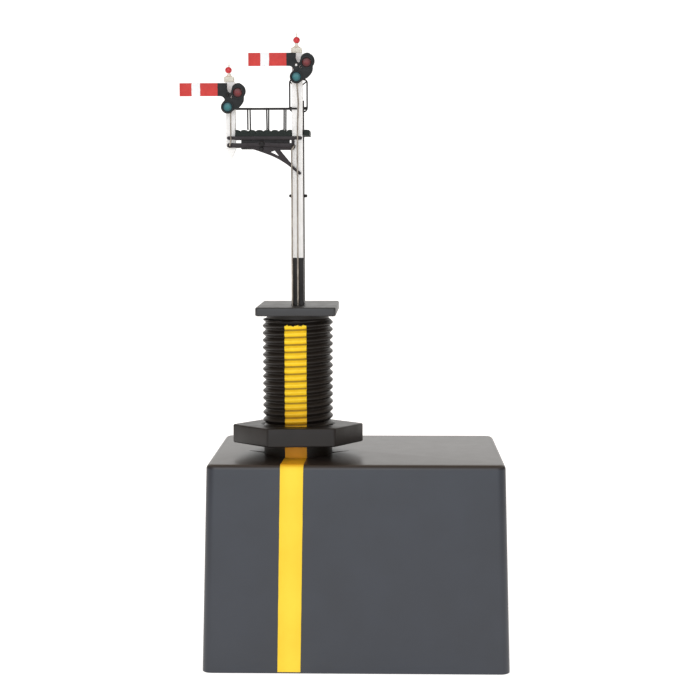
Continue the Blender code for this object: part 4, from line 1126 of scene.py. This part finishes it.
def make_ladder():
    """The ladder and the bar that stays it from the mast, turned with a collar at each end."""
    piece("ladder_etch", etched("ladder", 0.035), "frame", IRON_BLACK, ["ladder"], 30)
    low, high = box_mm("ladder_stay")
    centre = middle("ladder_stay")
    radius = (high.z - low.z) / 2
    collar = [(0, 0), (0.6, 0.04), (0.95, 0.16), (1, 0.3), (1, 0.55), (0.62, 0.7)]
    profile = [(radius * share, low.x + along) for share, along in collar]
    profile += [(radius * share, high.x - along) for share, along in reversed(collar)]
    stay = turned(profile, (0, centre.y, centre.z), "X", 28)
    piece("ladder_stay_bar", stay, "frame", IRON_BLACK, ["ladder_stay"], 40)


def make_hoop():
    """A wire guard behind the mast, with short struts at its corners."""
    low, high = box_mm("guard_hoop")
    y = (low.y + high.y) / 2
    r = GUARD_RADIUS
    left, right = low.x + r, high.x - r
    foot, head = low.z + r, high.z - r
    mast_low, mast_high = box_mm("mast")
    loop = [(mast_low.x + 0.2, y, foot + 0.1), (left + 0.25, y, foot + 0.15), (left, y, foot + 0.55)]
    loop += [(left, y, head - 0.4), (left + 0.35, y, head), (right - 0.35, y, head), (right, y, head - 0.4)]
    loop += [(right, y, foot + 0.55), (right - 0.35, y, foot), (mast_high.x - 0.2, y, foot)]
    shapes = [sweep(bent(loop, 0.3), r)]
    struts = [
        ((left, y, head - 0.3), (mast_low.x + 0.15, y, head - 1.1)),
        ((right, y, head - 0.3), (mast_high.x - 0.15, y, head - 1.1)),
        ((left, y, foot + 0.85), (mast_low.x + 0.15, y, foot + 0.8)),
        ((right, y, foot + 0.85), (mast_high.x - 0.15, y, foot + 0.75)),
    ]
    shapes += [sweep(strut, 0.13) for strut in struts]
    piece("guard_wire", merge(*shapes), "frame", IRON_BLACK, ["guard_hoop"], 40)


# ---------------------------------------------------------------- arms, rods and rocker


def lens_shape(centre, front, rear):
    """A lens that bulges towards -Y."""
    profile = [(0, front - 0.16)]
    for i in range(1, 8):
        turn = radians(90 * i / 7)
        profile.append((LENS_RADIUS * sin(turn), front + 0.02 - 0.18 * cos(turn)))
    profile += [(LENS_RADIUS, front + 0.05), (LENS_HOLE, front + 0.05), (LENS_HOLE, rear), (0, rear)]
    return turned(profile, (centre[0], 0, centre[1]), "Y", 48)


def ring_shape(centre, inner, outer, front, height):
    """A raised rim on the spectacle plate, round a lens."""
    middle_radius, half = (inner + outer) / 2, (outer - inner) / 2
    shoulder = front - height * 0.6
    profile = [(inner, front + 0.05), (inner, shoulder)]
    for i in range(7):
        turn = radians(180 - 180 * i / 6)
        profile.append((middle_radius + half * cos(turn), shoulder - height * 0.4 * sin(turn)))
    profile.append((outer, front + 0.05))
    return turned(profile, (centre[0], 0, centre[1]), "Y", 56)


def make_arm(name):
    """An arm with its spectacle plate and two lenses, and the headed pin that it turns on."""
    node = f"{name}_arm"
    front = box_mm(node)[0].y
    centre = middle(f"{name}_arm_pivot")
    shapes = [etched(node, 0.05)]
    for place, extra in ((RED_LENS, 0.42), (GREEN_LENS, 0.34)):
        at = (centre.x + place[0], centre.z + place[1])
        shapes.append(ring_shape(at, LENS_RADIUS + 0.03, LENS_RADIUS + extra, front, 0.12))
    paint = arm_paint(f"{name}_arm_paint", centre.x)
    piece(f"{name}_arm_plate", merge(*shapes), node, paint, [node], 30)
    colours = {
        "red": (RED_LENS, (0.03, 0.004, 0.005), (0.16, 0.012, 0.014)),
        "green": (GREEN_LENS, (0.008, 0.045, 0.06), (0.025, 0.17, 0.185)),
    }
    for colour, (place, rim, inner) in colours.items():
        at = (centre.x + place[0], centre.z + place[1])
        lens_node = f"{name}_lens_{colour}"
        glaze = lens_glaze(f"{lens_node}_glaze", rim, inner, at)
        lens = lens_shape(at, front + 0.02, box_mm(lens_node)[1].y)
        piece(f"{lens_node}_glass", lens, node, glaze, [lens_node], 40)
    low, high = box_mm(f"{name}_arm_pivot")
    head, shank = 0.3, 0.24
    profile = [(0, 0), (head * 0.5, 0.01), (head * 0.85, 0.06), (head, 0.12), (head, 0.16), (shank, 0.16)]
    profile += [(shank, high.y - low.y), (0, high.y - low.y)]
    pin = turned(raised(profile, low.y), (centre.x, 0, centre.z), "Y", 32)
    finish = STEEL if name == "main" else IRON_BLACK
    piece(f"{name}_pivot_pin", pin, "frame", finish, [f"{name}_arm_pivot"], 40)


def rod_foot(node):
    """The centre of a rod's lower end, read from its lowest points."""
    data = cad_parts[node].data
    low = min(v.co.z for v in data.vertices)
    ends = [v.co for v in data.vertices if v.co.z < low + 0.5 * MM]
    return sum(ends, Vector()) / len(ends) / MM


def make_rods():
    """Operating wires: straight runs with cranks, and hooks through the arms and the rocker's eyes."""
    low, high = box_mm("main_rod")
    x, y, _ = rod_foot("main_rod")
    hook_x, hook_z = high.x - WIRE_RADIUS, high.z - WIRE_RADIUS
    path = [(x, y, low.z), (x + 0.1, y, 100), (x + 0.15, y, 107.8), (x + 0.34, y, 111.9)]
    path += [(x + 0.02, y, 116.7), (hook_x, y, 117.8), (hook_x, y, hook_z), (hook_x, low.y, hook_z)]
    make_wire("main_rod", path, 0.3, WIRE_RADIUS)
    low, high = box_mm("branch_rod")
    x, y, _ = rod_foot("branch_rod")
    hook_x, hook_z = high.x - WIRE_RADIUS, high.z - WIRE_RADIUS
    path = [(x, y, low.z), (x, y, 80), (x + 0.03, y, 92), (x, y, hook_z - 0.7), (hook_x, y, hook_z - 0.3)]
    path += [(hook_x, y, hook_z), (hook_x, high.y, hook_z)]
    make_wire("branch_rod", path, 0.2, WIRE_RADIUS)
    low, high = box_mm("doll_rod")
    foot_x, foot_z = low.x + EYE_WIRE_RADIUS, low.z + EYE_WIRE_RADIUS
    hook_x, hook_z = high.x - EYE_WIRE_RADIUS, high.z - EYE_WIRE_RADIUS
    path = [(foot_x, high.y, foot_z), (foot_x, y, foot_z), (foot_x, y, foot_z + 0.4)]
    path += [(foot_x + 0.22, y, foot_z + 0.8), (foot_x + 0.22, y, 111.3), (hook_x, y, 112.1)]
    path += [(hook_x, y, hook_z), (hook_x, low.y, hook_z)]
    make_wire("doll_rod", path, 0.2, EYE_WIRE_RADIUS)


def make_wire(node, path, bend, radius):
    piece(f"{node}_wire", sweep(bent(path, bend), radius), node, WIRE, [node], 50)


def make_rocker():
    """The lever between the branch rod and the doll rod, on its slotted screw."""
    piece("rocker_lever", etched("rocker", 0.05), "rocker", BRACKET_BLACK, ["rocker"], 30)
    make_head("rocker_screw", "rocker_pivot", 0.12)


# ---------------------------------------------------------------- what stays hidden inside


def paint_inner_nodes():
    """The CAD nodes inside the casing stay as they are, each with the finish of its kind."""
    finishes = {
        PLATE_BLACK: ("drive_chassis", "limit_switch_main", "limit_switch_branch", "control_chip"),
        CAN: ("gearmotor_main", "gearmotor_branch", "capacitor_1", "capacitor_2"),
        STEEL: ("motor_shaft_main", "motor_shaft_branch"),
        NYLON: ("drive_cam_main", "drive_cam_branch", "lifter_main", "lifter_branch", "rod_guide"),
        BOARD: ("circuit_board",),
    }
    for finish, nodes in finishes.items():
        for node in nodes:
            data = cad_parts[node].data
            data.materials.clear()
            data.materials.append(finish)


# ---------------------------------------------------------------- studio


def make_camera():
    data = bpy.data.cameras.new("camera")
    data.sensor_width = SENSOR_WIDTH
    data.lens = FOCAL_WIDTHS * SENSOR_WIDTH
    data.clip_start = 0.01
    camera = bpy.data.objects.new("camera", data)
    bpy.context.scene.collection.objects.link(camera)
    turn = Matrix.Rotation(radians(CAMERA_YAW), 4, "Z")
    tilt = Matrix.Rotation(radians(90 - CAMERA_PITCH), 4, "X")
    roll = Matrix.Rotation(radians(CAMERA_ROLL), 4, "Z")
    camera.matrix_world = Matrix.Translation(Vector(CAMERA_PLACE) * MM) @ turn @ tilt @ roll
    bpy.context.scene.camera = camera


def make_sky():
    """White behind and bright in front, with warmer and dimmer light from overhead and from the sides."""
    world = bpy.data.worlds.new("studio")
    bpy.context.scene.world = world
    world.use_nodes = True
    direction = add_node(world, "ShaderNodeTexCoord").outputs["Generated"]
    split = add_node(world, "ShaderNodeSeparateXYZ")
    join(world, direction, split.inputs["Vector"])
    front = remap(world, split.outputs["Y"], 0.0, -0.5, 0, 1)
    aside = remap(world, arithmetic(world, "ABSOLUTE", split.outputs["X"]), 0.42, 0.75, 0, 1)
    above = remap(world, split.outputs["Z"], 0.3, 0.9, 0, 1)
    colour = blend_colours(world, front, SKY_REAR, SKY_FRONT)
    colour = blend_colours(world, aside, colour, SKY_SIDES)
    colour = blend_colours(world, above, colour, SKY_ABOVE)
    sky = world.node_tree.nodes["Background"]
    join(world, colour, sky.inputs["Color"])
    sky.inputs["Strength"].default_value = 1.0


def make_key_light():
    """A soft square light high in front."""
    data = bpy.data.lights.new("key", "AREA")
    data.shape = "SQUARE"
    data.size = KEY_SIZE
    data.energy = KEY_WATTS
    data.color = KEY_COLOUR
    light = bpy.data.objects.new("key", data)
    bpy.context.scene.collection.objects.link(light)
    light.location = KEY_PLACE
    light.rotation_euler = (Vector(KEY_TARGET) - Vector(KEY_PLACE)).to_track_quat("-Z", "Y").to_euler()


def make_studio():
    """The light, and a pale floor just under the cover."""
    make_sky()
    make_key_light()
    mesh = bmesh.new()
    bmesh.ops.create_grid(mesh, x_segments=4, y_segments=4, size=3.0)
    floor = to_object("floor", mesh, floor_material())
    floor.location.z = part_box("bottom_cover")[0].z - 0.00002
    bpy.context.scene.view_settings.view_transform = "Standard"


def floor_material():
    """Pale matt card with a faint glow of its own."""
    glow = {"Emission_Color": (1, 1, 1, 1), "Emission_Strength": FLOOR_GLOW}
    made = make_material("floor_white", roughness=0.8, **glow)
    colour = blend_colours(made, patches(made, 300.0), (0.6, 0.6, 0.6), (0.62, 0.62, 0.62))
    to_shader(made, "Base Color", colour)
    return made


def main():
    make_camera()
    make_casing()
    make_cover()
    make_grommet()
    make_stripe()
    make_barrel()
    make_nut()
    make_top_plate()
    make_mast()
    make_doll()
    make_finial("mast_cap", "mast_finial", "mast")
    make_finial("doll_cap", "doll_finial", "doll", -0.1, (-0.12, -0.2))
    make_bracket()
    make_deck()
    make_rails()
    make_ladder()
    make_hoop()
    make_arm("main")
    make_arm("doll")
    make_rods()
    make_rocker()
    paint_inner_nodes()
    make_studio()


main()
